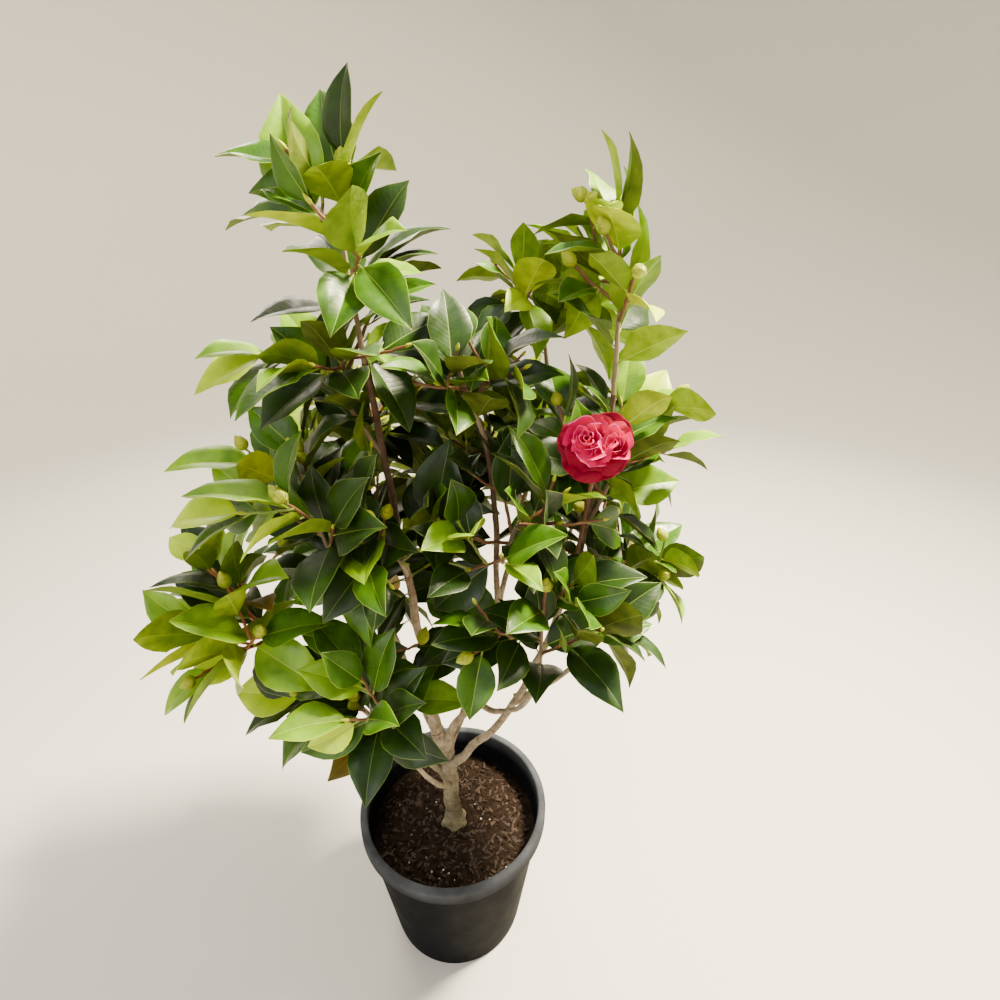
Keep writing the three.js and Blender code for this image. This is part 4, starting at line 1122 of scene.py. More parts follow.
def finer_fits(mass, shoot, rule):
    """Room for a finer shoot: clear of every leaf, bud and twig of the whole plant."""
    end = shoot_point(shoot, 1)
    if not is_inside(mass, end, rule["inset"]):
        return False
    on = mass["on"] if shoot["parent"] is None else None
    points = shoot_point(shoot, TWIG_SHARES)
    if (end < box_low + TIP_ROOM).any() or (end > box_high - TIP_ROOM).any():
        return False
    if room_from_limbs(points[2:], on) <= rule["room"]:
        return False
    tips = np.array([o["tip"] for o in all_shoots if o is not shoot["parent"]])
    if np.linalg.norm(tips - end, axis=1).min() < rule["spacing"]:
        return False
    _, far = to_segments(points[3:], *segments_of(all_shoots))
    if far.min() < 2 * SHOOT_RADIUS:
        return False
    buds = np.array([bud["middle"] for bud in all_buds])
    if np.linalg.norm(points[:, None] - buds, axis=-1).min() < BUD_RADIUS + SHOOT_RADIUS:
        return False
    blades = stacked([leaf for leaf in all_leaves if math.dist(leaf["middle"], end) < NEAR])
    return not len(blades[0]) or not cuts_through(points, blades[:3], TWIG_EDGES).any()


def segments_of(shoots):
    """The starts and the tips of shoots, which count as straight where others keep clear."""
    return [np.array([shoot[key] for shoot in shoots]).reshape(-1, 3) for key in ("start", "tip")]


def near_leaves(shoot):
    """The leaves that are close enough to be in the way of a shoot's own."""
    return [leaf for leaf in all_leaves if math.dist(leaf["middle"], shoot["tip"]) < NEAR]


def near_twigs(shoot):
    """The other twigs that are close enough to be in the way of a shoot's leaves."""
    return segments_of([o for o in all_shoots if o is not shoot and min(
        math.dist(o["tip"], shoot["tip"]), math.dist(o["start"], shoot["tip"])) < NEAR])


def clear_of_buds(leaf):
    """Whether every point of a leaf is farther from each flower bud's middle than its radius
    and a little room."""
    buds = np.array([bud["middle"] for bud in all_buds])
    near = buds[np.linalg.norm(buds - leaf["middle"], axis=1) < LEAF_LENGTH]
    far = np.linalg.norm(leaf["points"][:, None] - near, axis=-1)
    return not len(near) or far.min() > BUD_RADIUS + BUD_ROOM


box_low, box_high = (np.array(side) / MM for side in (cad_low, cad_high))
masses, filled = {}, None
for name, (on, at, middle, reach, seed, cluster, shoots) in MASSES.items():
    foot = path_point(limbs[on]["knots"], at)
    aim = np.array(middle) - foot
    aim[2] -= SHOOT_RISE * np.linalg.norm(aim)
    start = {"start": foot, "heading": unit(aim), "order": 0, "flush": 0, "parent": None}
    mass = {
        "name": name, "on": on, "middle": np.array(middle, float), "reach": np.array(reach, float),
        "seed": seed, "cluster": cluster, "most": shoots, "queue": [start], "next": 0, "shoots": [],
    }
    grow_shoots(mass, FIRST_GROWTH, FIRST_GROWTH["most"], first_fits)
    own = mass["shoots"]
    mass["leaves"] = grow_leaves(
        mass, own, 0, FIRST_HABIT, FIRST_SHIFTS, lambda shoot: [],
        lambda shoot: segments_of([o for o in own if o is not shoot]), filled, LEAF_CLEARANCE,
        lambda leaf: True)
    mass["buds"] = grow_buds(mass, own, filled, mass["leaves"])
    boxes = [piece["box"] for piece in own + mass["leaves"] + mass["buds"]]
    boxes = [np.array([box[k] for box in boxes]) for k in range(3)]
    filled = boxes if filled is None else [np.concatenate(pair) for pair in zip(filled, boxes)]
    masses[name] = mass

all_shoots = [shoot for mass in masses.values() for shoot in mass["shoots"]]
all_leaves = [leaf for mass in masses.values() for leaf in mass["leaves"] if not hides_stem(leaf)]
all_buds = [bud for mass in masses.values() for bud in mass["buds"]]
# The single buds that show beside the leaders, on the side that faces forward
for name, number, lean in LONE_BUDS:
    shoot = masses[name]["shoots"][number]
    lean = math.radians(lean)
    way = unit(math.cos(lean) * shoot_way(shoot, 1) - math.sin(lean) * np.array([0, 1, 0]))
    base = shoot["tip"] - BUD_SINK * way
    middle = base + BUD_LENGTH / 2 * way
    if all(math.dist(bud["middle"], middle) > BUD_SPACING for bud in all_buds):
        all_buds.append({
            "shoot": shoot, "base": base, "along": way, "length": BUD_LENGTH, "middle": middle})
# The first leaves loosen: each rolls about its midrib and lifts, if it stays clear of the rest
for leaf in all_leaves:
    shoot = leaf["shoot"]
    looser = leaf_on(shoot["mass"], shoot, LOOSE_HABIT, *leaf["drawn"])
    rest = stacked([o for o in near_leaves(shoot) if o is not leaf])
    if clear_of_buds(looser) and leaf_fits(
            shoot["mass"], looser, rest, near_twigs(shoot), None, FINER_GROWTH["room"]):
        leaf.update(looser)
for number in range(ROUNDS):
    for mass in masses.values():
        # What has found no room is joined by buds that would otherwise sleep, on the other sides
        for k in SLEEPING_BUDS[number]:
            mass["queue"] += [
                side_shoot(shoot, k, SLEEPING_OPENING, SLEEPING_TURN * number)
                for shoot in mass["shoots"]]
        most = between((FIRST_GROWTH["most"], mass["most"]), (number + 1) / ROUNDS)
        grown = grow_shoots(mass, FINER_GROWTH, int(most), finer_fits)
        all_shoots += grown
        buds = grow_buds(mass, grown, None, near_leaves(grown[0]) if grown else [])
        all_buds += buds
        wider = mass["shoots"] if number == 0 else grown
        leaves = grow_leaves(
            mass, wider, EXTRA_LEAVES, FINER_HABIT, FINER_SHIFTS, near_leaves, near_twigs, None,
            FINER_GROWTH["room"], lambda leaf: clear_of_buds(leaf) and not hides_stem(leaf))
        all_leaves += leaves

# The twigs: each flush is a slim shoot that thins to its tip. Last year's are grey-brown, this
# year's reddish-brown, and the newest are still green; the low left ones are orange-brown.
TWIG_RADII = np.array([2.9, 2.3, 1.9, 1.65, 1.5, 1.4])
TWIG_TAPER = 0.2
TWIG_SIDES = 7
TWIG_ROWS = 9
TWIG_WANDER = 0.5
NODE_SWELLING = 0.16
NODE_WAVE = 24

# A shoot that bears nothing, not even another shoot that does, is left off
bearing = {id(piece["shoot"]) for piece in all_leaves + all_buds}
for shoot in reversed(all_shoots):
    if id(shoot) in bearing and shoot["parent"] is not None:
        bearing.add(id(shoot["parent"]))
twigs = [shoot for shoot in all_shoots if id(shoot) in bearing]
for shoot in twigs:
    shoot["level"] = min(shoot["order"] + shoot["flush"], len(TWIG_RADII) - 1)

share = np.linspace(0, 1, TWIG_ROWS)
points = np.array([shoot_point(shoot, share) for shoot in twigs])
ways = np.array([shoot_way(shoot, share) for shoot in twigs])
level = np.array([shoot["level"] for shoot in twigs])
radii = TWIG_RADII[level][:, None] * (1 - TWIG_TAPER * share)
radii = radii * (1 + NODE_SWELLING * np.clip(np.cos(share * NODE_WAVE + level[:, None]), 0, 1))
draw = np.random.default_rng(31)
points[:, 1:-1] += draw.normal(0, TWIG_WANDER, points[:, 1:-1].shape)
rings = tube(points, ways, radii[..., None], TWIG_SIDES)

TWIG_COLOURS = {
    "last year's twig bark": ("#7d6650", "#9a846a"),
    "reddish young twig bark": ("#5c3d26", "#85593a"),
    "orange-brown twig bark": ("#8f4f28", "#b97342"),
    "green new twig skin": ("#6c7a34", "#8a9a4a"),
}


def clouded(material, shader, place, size, detail, dark, light, spread=(0, 1)):
    """Clouds of a dark and a light tint, mixed by a noise of that size in metres whose part
    inside the spread is stretched over the whole mix. The noise is given back."""
    noise = add_node(material, "TexNoise", {}, {"Vector": place, "Scale": 1 / size, "Detail": detail})
    share = noise.outputs["Fac"]
    if spread != (0, 1):
        share = add_node(material, "MapRange", {}, {
            "Value": share, "From Min": spread[0], "From Max": spread[1]}).outputs[0]
    tint = add_node(material, "Mix", {"data_type": "RGBA"}, {
        0: share, 6: (*linear(dark), 1), 7: (*linear(light), 1)})
    feed(material, shader, "Base Color", tint.outputs[2])
    return noise.outputs["Fac"]


twig_barks = []
for name, (dark, light) in TWIG_COLOURS.items():
    material, shader = new_material(name, dark, 0.6, Specular_IOR_Level=0.4)
    # Thin skin whose colour clouds over every centimetre, with small raised pores
    place = add_node(material, "TexCoord", {}, {}).outputs["Object"]
    clouded(material, shader, place, 0.01, 4.0, dark, light)
    grained(material, shader, place, 0.0018, 2.0, 0.5, 0.0005)
    twig_barks.append(material)

kind = np.select([level == 0, level <= 2], [0, 1], 3)
orange = np.array([shoot["mass"]["name"] == "low_left" for shoot in twigs])
kind = np.where(orange & (level <= 3), 2, kind)
numbers = np.concatenate([np.repeat(kind, (TWIG_ROWS - 1) * TWIG_SIDES), kind, kind])
piece = add_piece(
    "twigs", MM * rings.reshape(-1, 3), tube_faces(len(twigs), TWIG_ROWS, TWIG_SIDES), twig_barks,
    numbers, sharp=60)
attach(piece, "root")

# The flower buds: plump and pointed, of overlapping scales that are yellow-green and downy.
# The slim buds of next year's leaves sit at the ends of the twigs that bear none.
FLOWER_BUD_SIZE = (1.25, 1.06)
SCALE_TURN = 137.5
SCALES = 9
SCALE_WIDTH = 1.15
SCALE_GRID = (6, 5)
CORE_ROWS = 9
CORE_SIDES = 12
# The scales stand out of a bud's core to this share of its radius
OVER_SCALES = 1.12
LEAF_BUD_LENGTH = 12
LEAF_BUD_RANGE = (0.8, 1.25)
LEAF_BUD_RADIUS = 2.1
LEAF_BUD_SINK = 1.5


def bud_radius(share):
    """An egg: the square root shape of a foot, and a tip that closes to a point."""
    return np.sin(np.pi * np.clip(share, 0, 1) ** 0.75) ** 0.8


def bud_frames(directions):
    """Three directions for each bud, with its own along it as the last."""
    along = unit(np.array(directions))
    side = unit(np.cross(along, np.where(abs(along[:, :1]) > 0.7, [0.0, 1, 0], [1.0, 0, 0])))
    return np.stack([side, np.cross(along, side), along], 1)


def bud_cores(bases, frames, lengths, radii):
    """Turned bodies: rings of the egg's radius along each bud's own direction."""
    share = np.linspace(0.004, 0.996, CORE_ROWS)
    angle = np.arange(CORE_SIDES) * 2 * np.pi / CORE_SIDES
    ring = bud_radius(share)[:, None, None] * np.stack([np.cos(angle), np.sin(angle)], -1)
    across = radii[:, None, None, None] * ring
    along = np.broadcast_to(share[:, None, None], (*ring.shape[:2], 1))
    along = along * lengths[:, None, None, None]
    return bases[:, None, None] + np.concatenate([across, along], -1) @ frames[:, None]


def bud_scales(bases, frames, lengths, radii, count, seed):
    """Scales: patches of the egg, lifted off it from foot to tip, narrowing to a blunt point.
    Each is a shell, with its inner face a little nearer to the core."""
    draw = np.random.default_rng(seed)
    rows, columns = SCALE_GRID
    up = np.linspace(0, 1, rows)[:, None]
    over = np.linspace(-1, 1, columns)
    number = np.arange(count)
    first = (0.02 + 0.5 * number / count)[:, None, None]
    reach = 0.46 - 0.04 * number[:, None, None] / count
    turn = np.radians(SCALE_TURN) * number[:, None, None]
    width = SCALE_WIDTH * (1 - up**2.4) ** 0.5 * (1 - 0.25 * up)
    share = first + reach * up * (1 - 0.12 * over**2)
    angle = turn + width * over + 0 * share
    lift = 1.03 + 0.10 * up**1.5 * (1 - 0.3 * over**2)
    shells = []
    for gap in (0, -0.06):
        radius = bud_radius(np.clip(share, 0, 0.985)) * (lift + gap)
        x, y = radius * np.cos(angle), radius * np.sin(angle)
        shells.append(np.stack([x, y, share + 0 * angle], -1))
    local = np.stack(shells, 1)
    spin = draw.uniform(0, 2 * np.pi, len(bases))
    c, s = np.cos(spin)[:, None, None, None, None], np.sin(spin)[:, None, None, None, None]
    x, y = local[..., 0] * c - local[..., 1] * s, local[..., 0] * s + local[..., 1] * c
    size = radii[:, None, None, None, None]
    place = np.stack([size * x, size * y, local[..., 2] * lengths[:, None, None, None, None]], -1)
    return bases[:, None, None, None, None] + place @ frames[:, None, None, None]


def shell_faces(count, rows, columns):
    """Faces of shells made of an outer and an inner grid that share their rim."""
    outer = grid_quads(rows, columns, False)
    inner = outer[:, ::-1] + rows * columns
    edge = np.concatenate([
        np.arange(columns), np.arange(2, rows + 1) * columns - 1,
        np.arange(columns - 1)[::-1] + (rows - 1) * columns, np.arange(1, rows - 1)[::-1] * columns,
    ])
    after = np.roll(edge, -1)
    rim = np.stack([after, edge, edge + rows * columns, after + rows * columns], -1)
    faces = np.concatenate([outer, inner, rim])
    return (faces + 2 * rows * columns * np.arange(count)[:, None, None]).reshape(-1, 4)


bud_green, shader = new_material("downy bud scale", "#9aa428", 0.55, Specular_IOR_Level=0.3)
# Yellow-green, paler and silky where down lies on it
place = add_node(bud_green, "TexCoord", {}, {}).outputs["Object"]
clouded(bud_green, shader, place, 0.006, 4.0, "#7c8c18", "#bcc030")
grained(bud_green, shader, place, 0.0009, 2.0, 0.3, 0.0003)

frames = bud_frames([bud["along"] for bud in all_buds])
bases = np.array([bud["base"] for bud in all_buds])
lengths = FLOWER_BUD_SIZE[0] * np.array([bud["length"] for bud in all_buds])
radii = np.full(len(all_buds), FLOWER_BUD_SIZE[1] * BUD_RADIUS)
cores = bud_cores(bases, frames, lengths, radii)
bud_bodies = [*bud_cores(bases, frames, lengths, OVER_SCALES * radii)]
scales = bud_scales(bases, frames, lengths, radii, SCALES, 51)
scale_faces = shell_faces(len(all_buds) * SCALES, *SCALE_GRID)
core_count = cores.reshape(-1, 3).shape[0]
piece = add_piece(
    "flower_buds",
    MM * np.concatenate([cores.reshape(-1, 3), scales.reshape(-1, 3)]),
    [*tube_faces(len(all_buds), CORE_ROWS, CORE_SIDES), scale_faces + core_count],
    [bud_green], sharp=50)
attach(piece, "root")

tipped = {id(bud["shoot"]) for bud in all_buds} | {
    id(shoot["parent"]) for shoot in twigs if shoot["flush"] and shoot["parent"] is not None}
ends = [shoot for shoot in twigs if id(shoot) not in tipped]
draw = np.random.default_rng(52)
frames = bud_frames([shoot_way(shoot, 1) for shoot in ends])
bases = np.array([shoot["tip"] for shoot in ends]) - LEAF_BUD_SINK * frames[:, 2]
lengths = LEAF_BUD_LENGTH * draw.uniform(*LEAF_BUD_RANGE, len(ends))
radii = np.full(len(ends), LEAF_BUD_RADIUS)
cores = bud_cores(bases, frames, lengths, radii)
bud_bodies += [*cores]
piece = add_piece(
    "leaf_buds",
    MM * cores.reshape(-1, 3),
    tube_faces(len(ends), CORE_ROWS, CORE_SIDES),
    [bud_green],
    sharp=50,
)
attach(piece, "root")

# The leaves: leathery evergreen blades, glossy above and matt beneath, each one folded along
# its midrib, with a thin pale margin and a short stalk that sits on its twig.
PETIOLE_RADIUS = 1.15
BLADE_THICKNESS = 1.0
MARGIN = 0.5
# Half the width of the midrib above and below, at the leaf's foot and at its tip
MIDRIB = (0.6, 0.2)
MIDRIB_BELOW = (1.1, 0.3)
MIDRIB_GROOVE = 0.35
HALF_CROWN = 0.028
EDGE_ROLL = 0.05
TIP_HOOK = (0.02, 0.13)
TIP_TWIST = 34
SIDE_BEND = 0.05
RIPPLE = 0.024
RIPPLE_WAVES = (1.1, 2.3)
RIPPLE_SHIFT = 1.4
WIDER = 1.13
TIP_DRAWN_IN = 0.3
TIP_FROM = 0.6
LEAF_ROWS = np.array([0.0, 0.05, 0.14, 0.27, 0.42, 0.57, 0.71, 0.83, 0.93, 1.0])
TIP_HALF_WIDTH = 0.3
# Where round a leaf's section its ten corners are: eight over the top and two below
CORNERS_OVER = 8
CORNERS_BELOW = np.array([1.35, 1.65])


def leaf_outline(width, along):
    """The oval of the blade, a little wider in the middle than the source's and drawn in at
    both ends as a real leaf is: the same sine at a higher power, less a square at the tip."""
    drawn_in = 1 - TIP_DRAWN_IN * np.clip((along - TIP_FROM) / (1 - TIP_FROM), 0, 1) ** 2
    return WIDER * width * np.sin(np.pi * along**0.86) ** 0.84 * drawn_in


def leaf_rings(leaves):
    """A leaf as rings of ten corners along its stalk and blade, eight of them over its top
    from margin to margin and two below its raised midrib. The top is the source's folded and
    curled surface; on it come a crown in each half, rolled and waved margins, and a tip that
    hooks down, bends aside and twists, each by a square of the share along the blade."""
    base, axes, size = stacked(leaves)[:3]
    length, width, fold, curl = size.T[..., None, None]
    along = LEAF_ROWS[:, None]
    draw = np.random.default_rng(41)
    phase, ripples, hook, twist, bend = draw.uniform(0, 1, (5, len(leaves), 1, 1))
    edge = np.maximum(leaf_outline(width, along) * length, TIP_HALF_WIDTH)
    edge = np.where(along == 0, 1.3 * PETIOLE_RADIUS, edge)
    inner = np.minimum(between(MIDRIB, along), 0.3 * edge)
    outer = edge - np.minimum(MARGIN, 0.25 * edge)
    one_side = np.stack(np.broadcast_arrays(edge, outer, (outer + inner) / 2, inner), -1)[:, :, 0]
    across = np.concatenate([one_side, -one_side[..., ::-1]], -1)
    part = abs(across) / edge
    wave = 2 * np.pi * (between(RIPPLE_WAVES, ripples) * along + phase)
    wave = wave + RIPPLE_SHIFT * np.sign(across)
    hooked = np.clip((along - TIP_FROM) / (1 - TIP_FROM), 0, 1) ** 2
    midline = -curl * along**2 * length
    midline = midline - between(TIP_HOOK, hook**2) * length * hooked
    height = fold * abs(across) - EDGE_ROLL * edge * part**4
    height = height + HALF_CROWN * length * part * (1 - part) * 4 * np.sin(np.pi * along)
    height = height + RIPPLE * length * part**2 * np.sin(wave) * np.sin(np.pi * along) ** 0.5
    height = height - MIDRIB_GROOVE * (part < 0.35)
    below = -MIDRIB_GROOVE - BLADE_THICKNESS * (1 - 0.7 * along) + 0 * edge
    rib = np.minimum(between(MIDRIB_BELOW, along), 0.3 * edge)
    across = np.concatenate([across, -rib, rib], -1)
    height = np.concatenate([height, below, below], -1)
    turn = np.radians(TIP_TWIST) * (2 * twist - 1) * along**2
    sideways = across * np.cos(turn) - height * np.sin(turn)
    sideways = sideways + SIDE_BEND * (2 * bend - 1) * length * along**2
    height = across * np.sin(turn) + height * np.cos(turn) + midline
    far = np.broadcast_to(along * length, (len(leaves), len(LEAF_ROWS), 1))
    blade = np.stack([np.broadcast_to(far, across.shape), sideways, height], -1)
    turn = np.append(np.linspace(0, np.pi, CORNERS_OVER), CORNERS_BELOW * np.pi)
    round_stalk = PETIOLE_RADIUS * np.stack([0 * turn, np.cos(turn), np.sin(turn)], -1)
    blade[:, 0] = round_stalk * [1, 1, 0.8] + [0, 0, -0.4]
    root = np.broadcast_to(round_stalk, (len(leaves), 1, *round_stalk.shape)) + [-PETIOLE, 0, 0.2]
    rings = base[:, None, None] + np.concatenate([root, blade], 1) @ axes[:, None]
    # A leaf that would stand out of the plant's box is leant back into it
    lean = np.append(0, LEAF_ROWS)[:, None, None]
    for _ in range(3):
        over = np.clip(rings.max((1, 2)) - box_high + BOX_ROOM, 0, None)
        over = over + np.clip(rings.min((1, 2)) - box_low - BOX_ROOM, None, 0)
        rings = rings - over[:, None, None] * lean
    return rings


# By how much the tip of a leaf may lean aside to clear what it cuts, to which sides of its
# blade, and how often all leaves are gone through
LEAN_STEPS = (3, 6, 9, 12, 16, 20, 26)
LEAN_TURNS = np.radians([90, 270, 45, 135, 225, 315, 0, 180])
LEAN_ROUNDS = 3


def tree_of(body):
    """The faces of a closed body of rings, sorted so that what cuts them is found fast."""
    faces = [face.tolist() for block in tube_faces(1, *body.shape[:2]) for face in block]
    return BVHTree.FromPolygons(body.reshape(-1, 3).tolist(), faces)


def cut_by(body, others):
    """The numbers of the other bodies that a body cuts."""
    near = ((others["low"] <= body.max((0, 1))) & (others["high"] >= body.min((0, 1)))).all(1)
    tree = tree_of(body)
    return [number for number in np.flatnonzero(near) if tree.overlap(others["trees"][number])]


def leant_apart(rings, leaves):
    """Each leaf that cuts through another or through a bud leans aside in proportion to the
    distance from its stalk, by the least of a few steps that clears the most of them."""
    rings = rings.copy()
    blades, buds = ({
        "trees": [tree_of(body) for body in bodies],
        "low": np.array([body.min((0, 1)) for body in bodies]),
        "high": np.array([body.max((0, 1)) for body in bodies]),
    } for bodies in (rings, bud_bodies))
    lean = np.append(0, LEAF_ROWS)[:, None, None]

    def crossings(leaf, number):
        """How many other leaves and buds a leaf cuts, or more than any where it leaves the box."""
        if (leaf < box_low + BOX_ROOM / 2).any() or (leaf > box_high - BOX_ROOM / 2).any():
            return len(rings)
        return len(set(cut_by(leaf, blades)) - {number}) + len(cut_by(leaf[2:], buds))

    for _ in range(LEAN_ROUNDS):
        for number, leaf in enumerate(leaves):
            first = best = rings[number]
            fewest = crossings(first, number)
            for step in LEAN_STEPS:
                for turn in LEAN_TURNS:
                    if fewest == 0:
                        break
                    across, up = leaf["axes"][1], leaf["axes"][2]
                    aside = step * (math.cos(turn) * across + math.sin(turn) * up)
                    met = crossings(first + lean * aside, number)
                    if met < fewest:
                        best, fewest = first + lean * aside, met
            if best is not first:
                rings[number] = best
                blades["trees"][number] = tree_of(best)
                blades["low"][number] = best.min((0, 1))
                blades["high"][number] = best.max((0, 1))
    return rings


def leaf_uv(count):
    """For each corner, its share across the blade from margin to margin and along it."""
    across = np.append(np.linspace(1, 0, CORNERS_OVER), [0.45, 0.55])
    along = np.append(-0.1, LEAF_ROWS)
    grid = np.stack(np.broadcast_arrays(across, along[:, None]), -1)
    return np.broadcast_to(grid, (count, *grid.shape)).reshape(-1, 2)


def add_uv(piece, uv):
    """A UV map in which every corner of a face takes its vertex's place."""
    layer = piece.data.uv_layers.new(name="across_and_along")
    corners = np.empty(len(piece.data.loops), np.int32)
    piece.data.loops.foreach_get("vertex_index", corners)
    layer.uv.foreach_set("vector", np.asarray(uv, np.float32)[corners].ravel())


# The top, dark and light, the underside and the midrib and margin of each kind of leaf, and
# how rough its wax is
LEAF_COLOURS = {
    "old": ("#132507", "#233e09", ("#404c12", "#5c681a"), "#5e7220", 0.38),
    "mature": ("#244204", "#406804", ("#566e10", "#748c16"), "#7a9224", 0.34),
    "young": ("#547c00", "#80aa00", ("#748f0c", "#9cb212"), "#a2b42c", 0.35),
    # This kind is painted light: a lighter yellow-green copy of the leaf for leaves that the sun lights
    # and shines through
    "sunlit": ("#8eae00", "#b4d000", ("#9cae00", "#c4d206"), "#ccd838", 0.4),
    "ageing": ("#4e4c0e", "#785a14", ("#54460f", "#76581c"), "#8c7030", 0.5),
}
VEIN_PAIRS = 7
leaf_skins = []
leaf_ribs = []
for name, (dark, light, under, rib, wax) in LEAF_COLOURS.items():
    material, shader = new_material(name + " leaf top", dark, wax, Specular_IOR_Level=0.27)
    # Waxy skin: clouded green, with side veins pressed in from the midrib towards the tip
    place = add_node(material, "TexCoord", {}, {})
    clouded(material, shader, place.outputs["Object"], 0.03, 3.0, dark, light, (0.3, 0.7))
    uv = add_node(material, "SeparateXYZ", {}, {"Vector": place.outputs["UV"]}).outputs
    off = add_node(material, "Math", {"operation": "SUBTRACT"}, {0: uv["X"], 1: 0.5})
    off = add_node(material, "Math", {"operation": "ABSOLUTE"}, {0: off.outputs[0]})
    back = add_node(material, "Math", {"operation": "MULTIPLY_ADD"}, {
        0: off.outputs[0], 1: -0.5, 2: uv["Y"]})
    wave = add_node(material, "Math", {"operation": "MULTIPLY"}, {
        0: back.outputs[0], 1: 2 * math.pi * VEIN_PAIRS})
    wave = add_node(material, "Math", {"operation": "COSINE"}, {0: wave.outputs[0]})
    vein = add_node(material, "Math", {"operation": "POWER", "use_clamp": True}, {
        0: wave.outputs[0], 1: 6.0})
    cells = add_node(material, "TexNoise", {}, {
        "Vector": place.outputs["Object"], "Scale": 1 / 0.004, "Detail": 3.0})
    relief = add_node(material, "Math", {"operation": "MULTIPLY_ADD"}, {
        0: vein.outputs[0], 1: -0.6, 2: cells.outputs["Fac"]})
    bump = add_node(material, "Bump", {}, {
        "Height": relief.outputs[0], "Strength": 0.17, "Distance": 0.0005})
    feed(material, shader, "Normal", bump.outputs[0])
    bloomy = add_node(material, "TexNoise", {}, {
        "Vector": place.outputs["Object"], "Scale": 1 / 0.012, "Detail": 4.0})
    patchy = add_node(material, "MapRange", {}, {
        "Value": bloomy.outputs["Fac"], "From Min": 0.35, "From Max": 0.7,
        "To Min": wax - 0.07, "To Max": wax + 0.14})
    feed(material, shader, "Roughness", patchy.outputs[0])

    beneath, shader = new_material(
        name + " leaf underside", under[1], 0.62, Specular_IOR_Level=0.14)
    # Matt and paler, finely netted with veins that stand out
    place = add_node(beneath, "TexCoord", {}, {}).outputs["Object"]
    clouded(beneath, shader, place, 0.016, 5.0, *under, (0.35, 0.65))
    net = add_node(beneath, "TexVoronoi", {"feature": "DISTANCE_TO_EDGE"}, {
        "Vector": place, "Scale": 1 / 0.005})
    bump = add_node(beneath, "Bump", {"invert": True}, {
        "Height": net.outputs["Distance"], "Strength": 0.35, "Distance": 0.0008})
    feed(beneath, shader, "Normal", bump.outputs[0])
    leaf_skins += [material, beneath]
    # Midrib and margin are hard and pale, and too thin to show more than their colour; the margin's
    # pale line is partly a painted highlight where light catches the rounded edge
    leaf_ribs.append(new_material(name + " leaf rib", rib, 0.45)[0])
# Smooth skin of the stalk, which is as thin and shows its colour alone
petiole_skin, _ = new_material("yellow-green leaf stalk", "#8f9a38", 0.5)
leaf_skins += [*leaf_ribs, petiole_skin]

# How light a leaf's green is: painted light and shade by height and by how far out it stands from the
# crown's heart, painted sunlight at the top right, then by its age and by chance
TONE_STEPS = (0.46, 0.70, 0.92)
CROWN_HEART = np.array([10.0, -10.0, 780.0])
CROWN_HALVES = np.array([280, 230, 420])
PAINTED_LIGHT_BY_REACH = 0.62
TIP_LEAF_TONE = 0.12
PAINTED_SUN_TOP_RIGHT = 0.08
TONE_BY_LEVEL = 0.08
MIDDLE_LEVEL = 2
TONE_SCATTER = 0.19
AGEING = list(LEAF_COLOURS).index("ageing")
AGEING_FROM = 3
AGEING_BELOW = 0.8
AGEING_SHARE = 0.02
draw = np.random.default_rng(43)
tones = []
for leaf in all_leaves:
    shoot = leaf["shoot"]
    # Painted light and shade: leaves far out from the crown's heart are lighter, those near it darker,
    # and the top right ones lighter still
    out = np.linalg.norm((leaf["middle"] - CROWN_HEART) / CROWN_HALVES)
    tone = PAINTED_LIGHT_BY_REACH * out + (TIP_LEAF_TONE if shoot["leaves"].get(0) is leaf else 0)
    tone += PAINTED_SUN_TOP_RIGHT if shoot["mass"]["name"] == "top_right" else 0
    tone += TONE_BY_LEVEL * (shoot["level"] - MIDDLE_LEVEL)
    tones.append(tone + draw.normal(0, TONE_SCATTER))
shade = np.digitize(tones, TONE_STEPS)
oldest = (np.array(tones) < AGEING_BELOW) & [leaf["k"] >= AGEING_FROM for leaf in all_leaves]
shade[oldest & (draw.random(len(shade)) < AGEING_SHARE)] = AGEING

rings = leant_apart(leaf_rings(all_leaves), all_leaves)
# The ten strips round a leaf: its top is 0, its underside 1, and midrib and margins 2
strips = np.array([2, 0, 0, 2, 0, 0, 2, 1, 2, 1])
rows = len(LEAF_ROWS)
number = np.zeros((len(all_leaves), rows, len(strips)), np.int64)
ribs = 2 * len(LEAF_COLOURS) + shade
stalk = 3 * len(LEAF_COLOURS)
number[:] = np.where(strips == 2, ribs[:, None, None], 2 * shade[:, None, None] + strips)
number[:, 0] = stalk
caps = np.full(len(all_leaves), stalk)
piece = add_piece(
    "leaves",
    MM * rings.reshape(-1, 3),
    tube_faces(len(all_leaves), rows + 1, len(strips)),
    leaf_skins,
    np.concatenate([number.ravel(), caps, ribs]),
    sharp=50,
)
add_uv(piece, leaf_uv(len(all_leaves)))
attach(piece, "root")
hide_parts(*("foliage_" + name for name in MASSES))

# The bloom: one open double flower, wide rounded guard petals behind and a crowd of crumpled
# ones that swirl round two centres, dark crimson with thin pale pink edges, on a short twig.
# The guard petals' darker crimson is painted shade, and the pale edges are partly a painted highlight.
PETAL_GRID = (11, 13)
PETAL_THICKNESS = 0.35
FLATTER = 0.2
PALE_RIMS = 0.6
BLOOM_TWIG_ROWS = 14
BLOOM_TWIG_SIDES = 9
BLOOM_TWIG_SLIM = 2.6
BLOOM_TWIG_SWELLING = 0.25
BLOOM_TWIG_WAVE = 30
# How far behind the bloom's middle the sepals start, and the length and radius of the cup that
# they sit on and of the sepals
SEPALS_BEHIND = 17
SEPAL_CUP = (14.0, 9.5)
SEPAL_SIZE = (24.0, 11.0)
petal_up = np.append(np.linspace(0, 0.965, PETAL_GRID[0] - 1), 1)[:, None]
petal_over = np.concatenate([[-1], np.linspace(-0.95, 0.95, PETAL_GRID[1] - 2), [1]])[None]


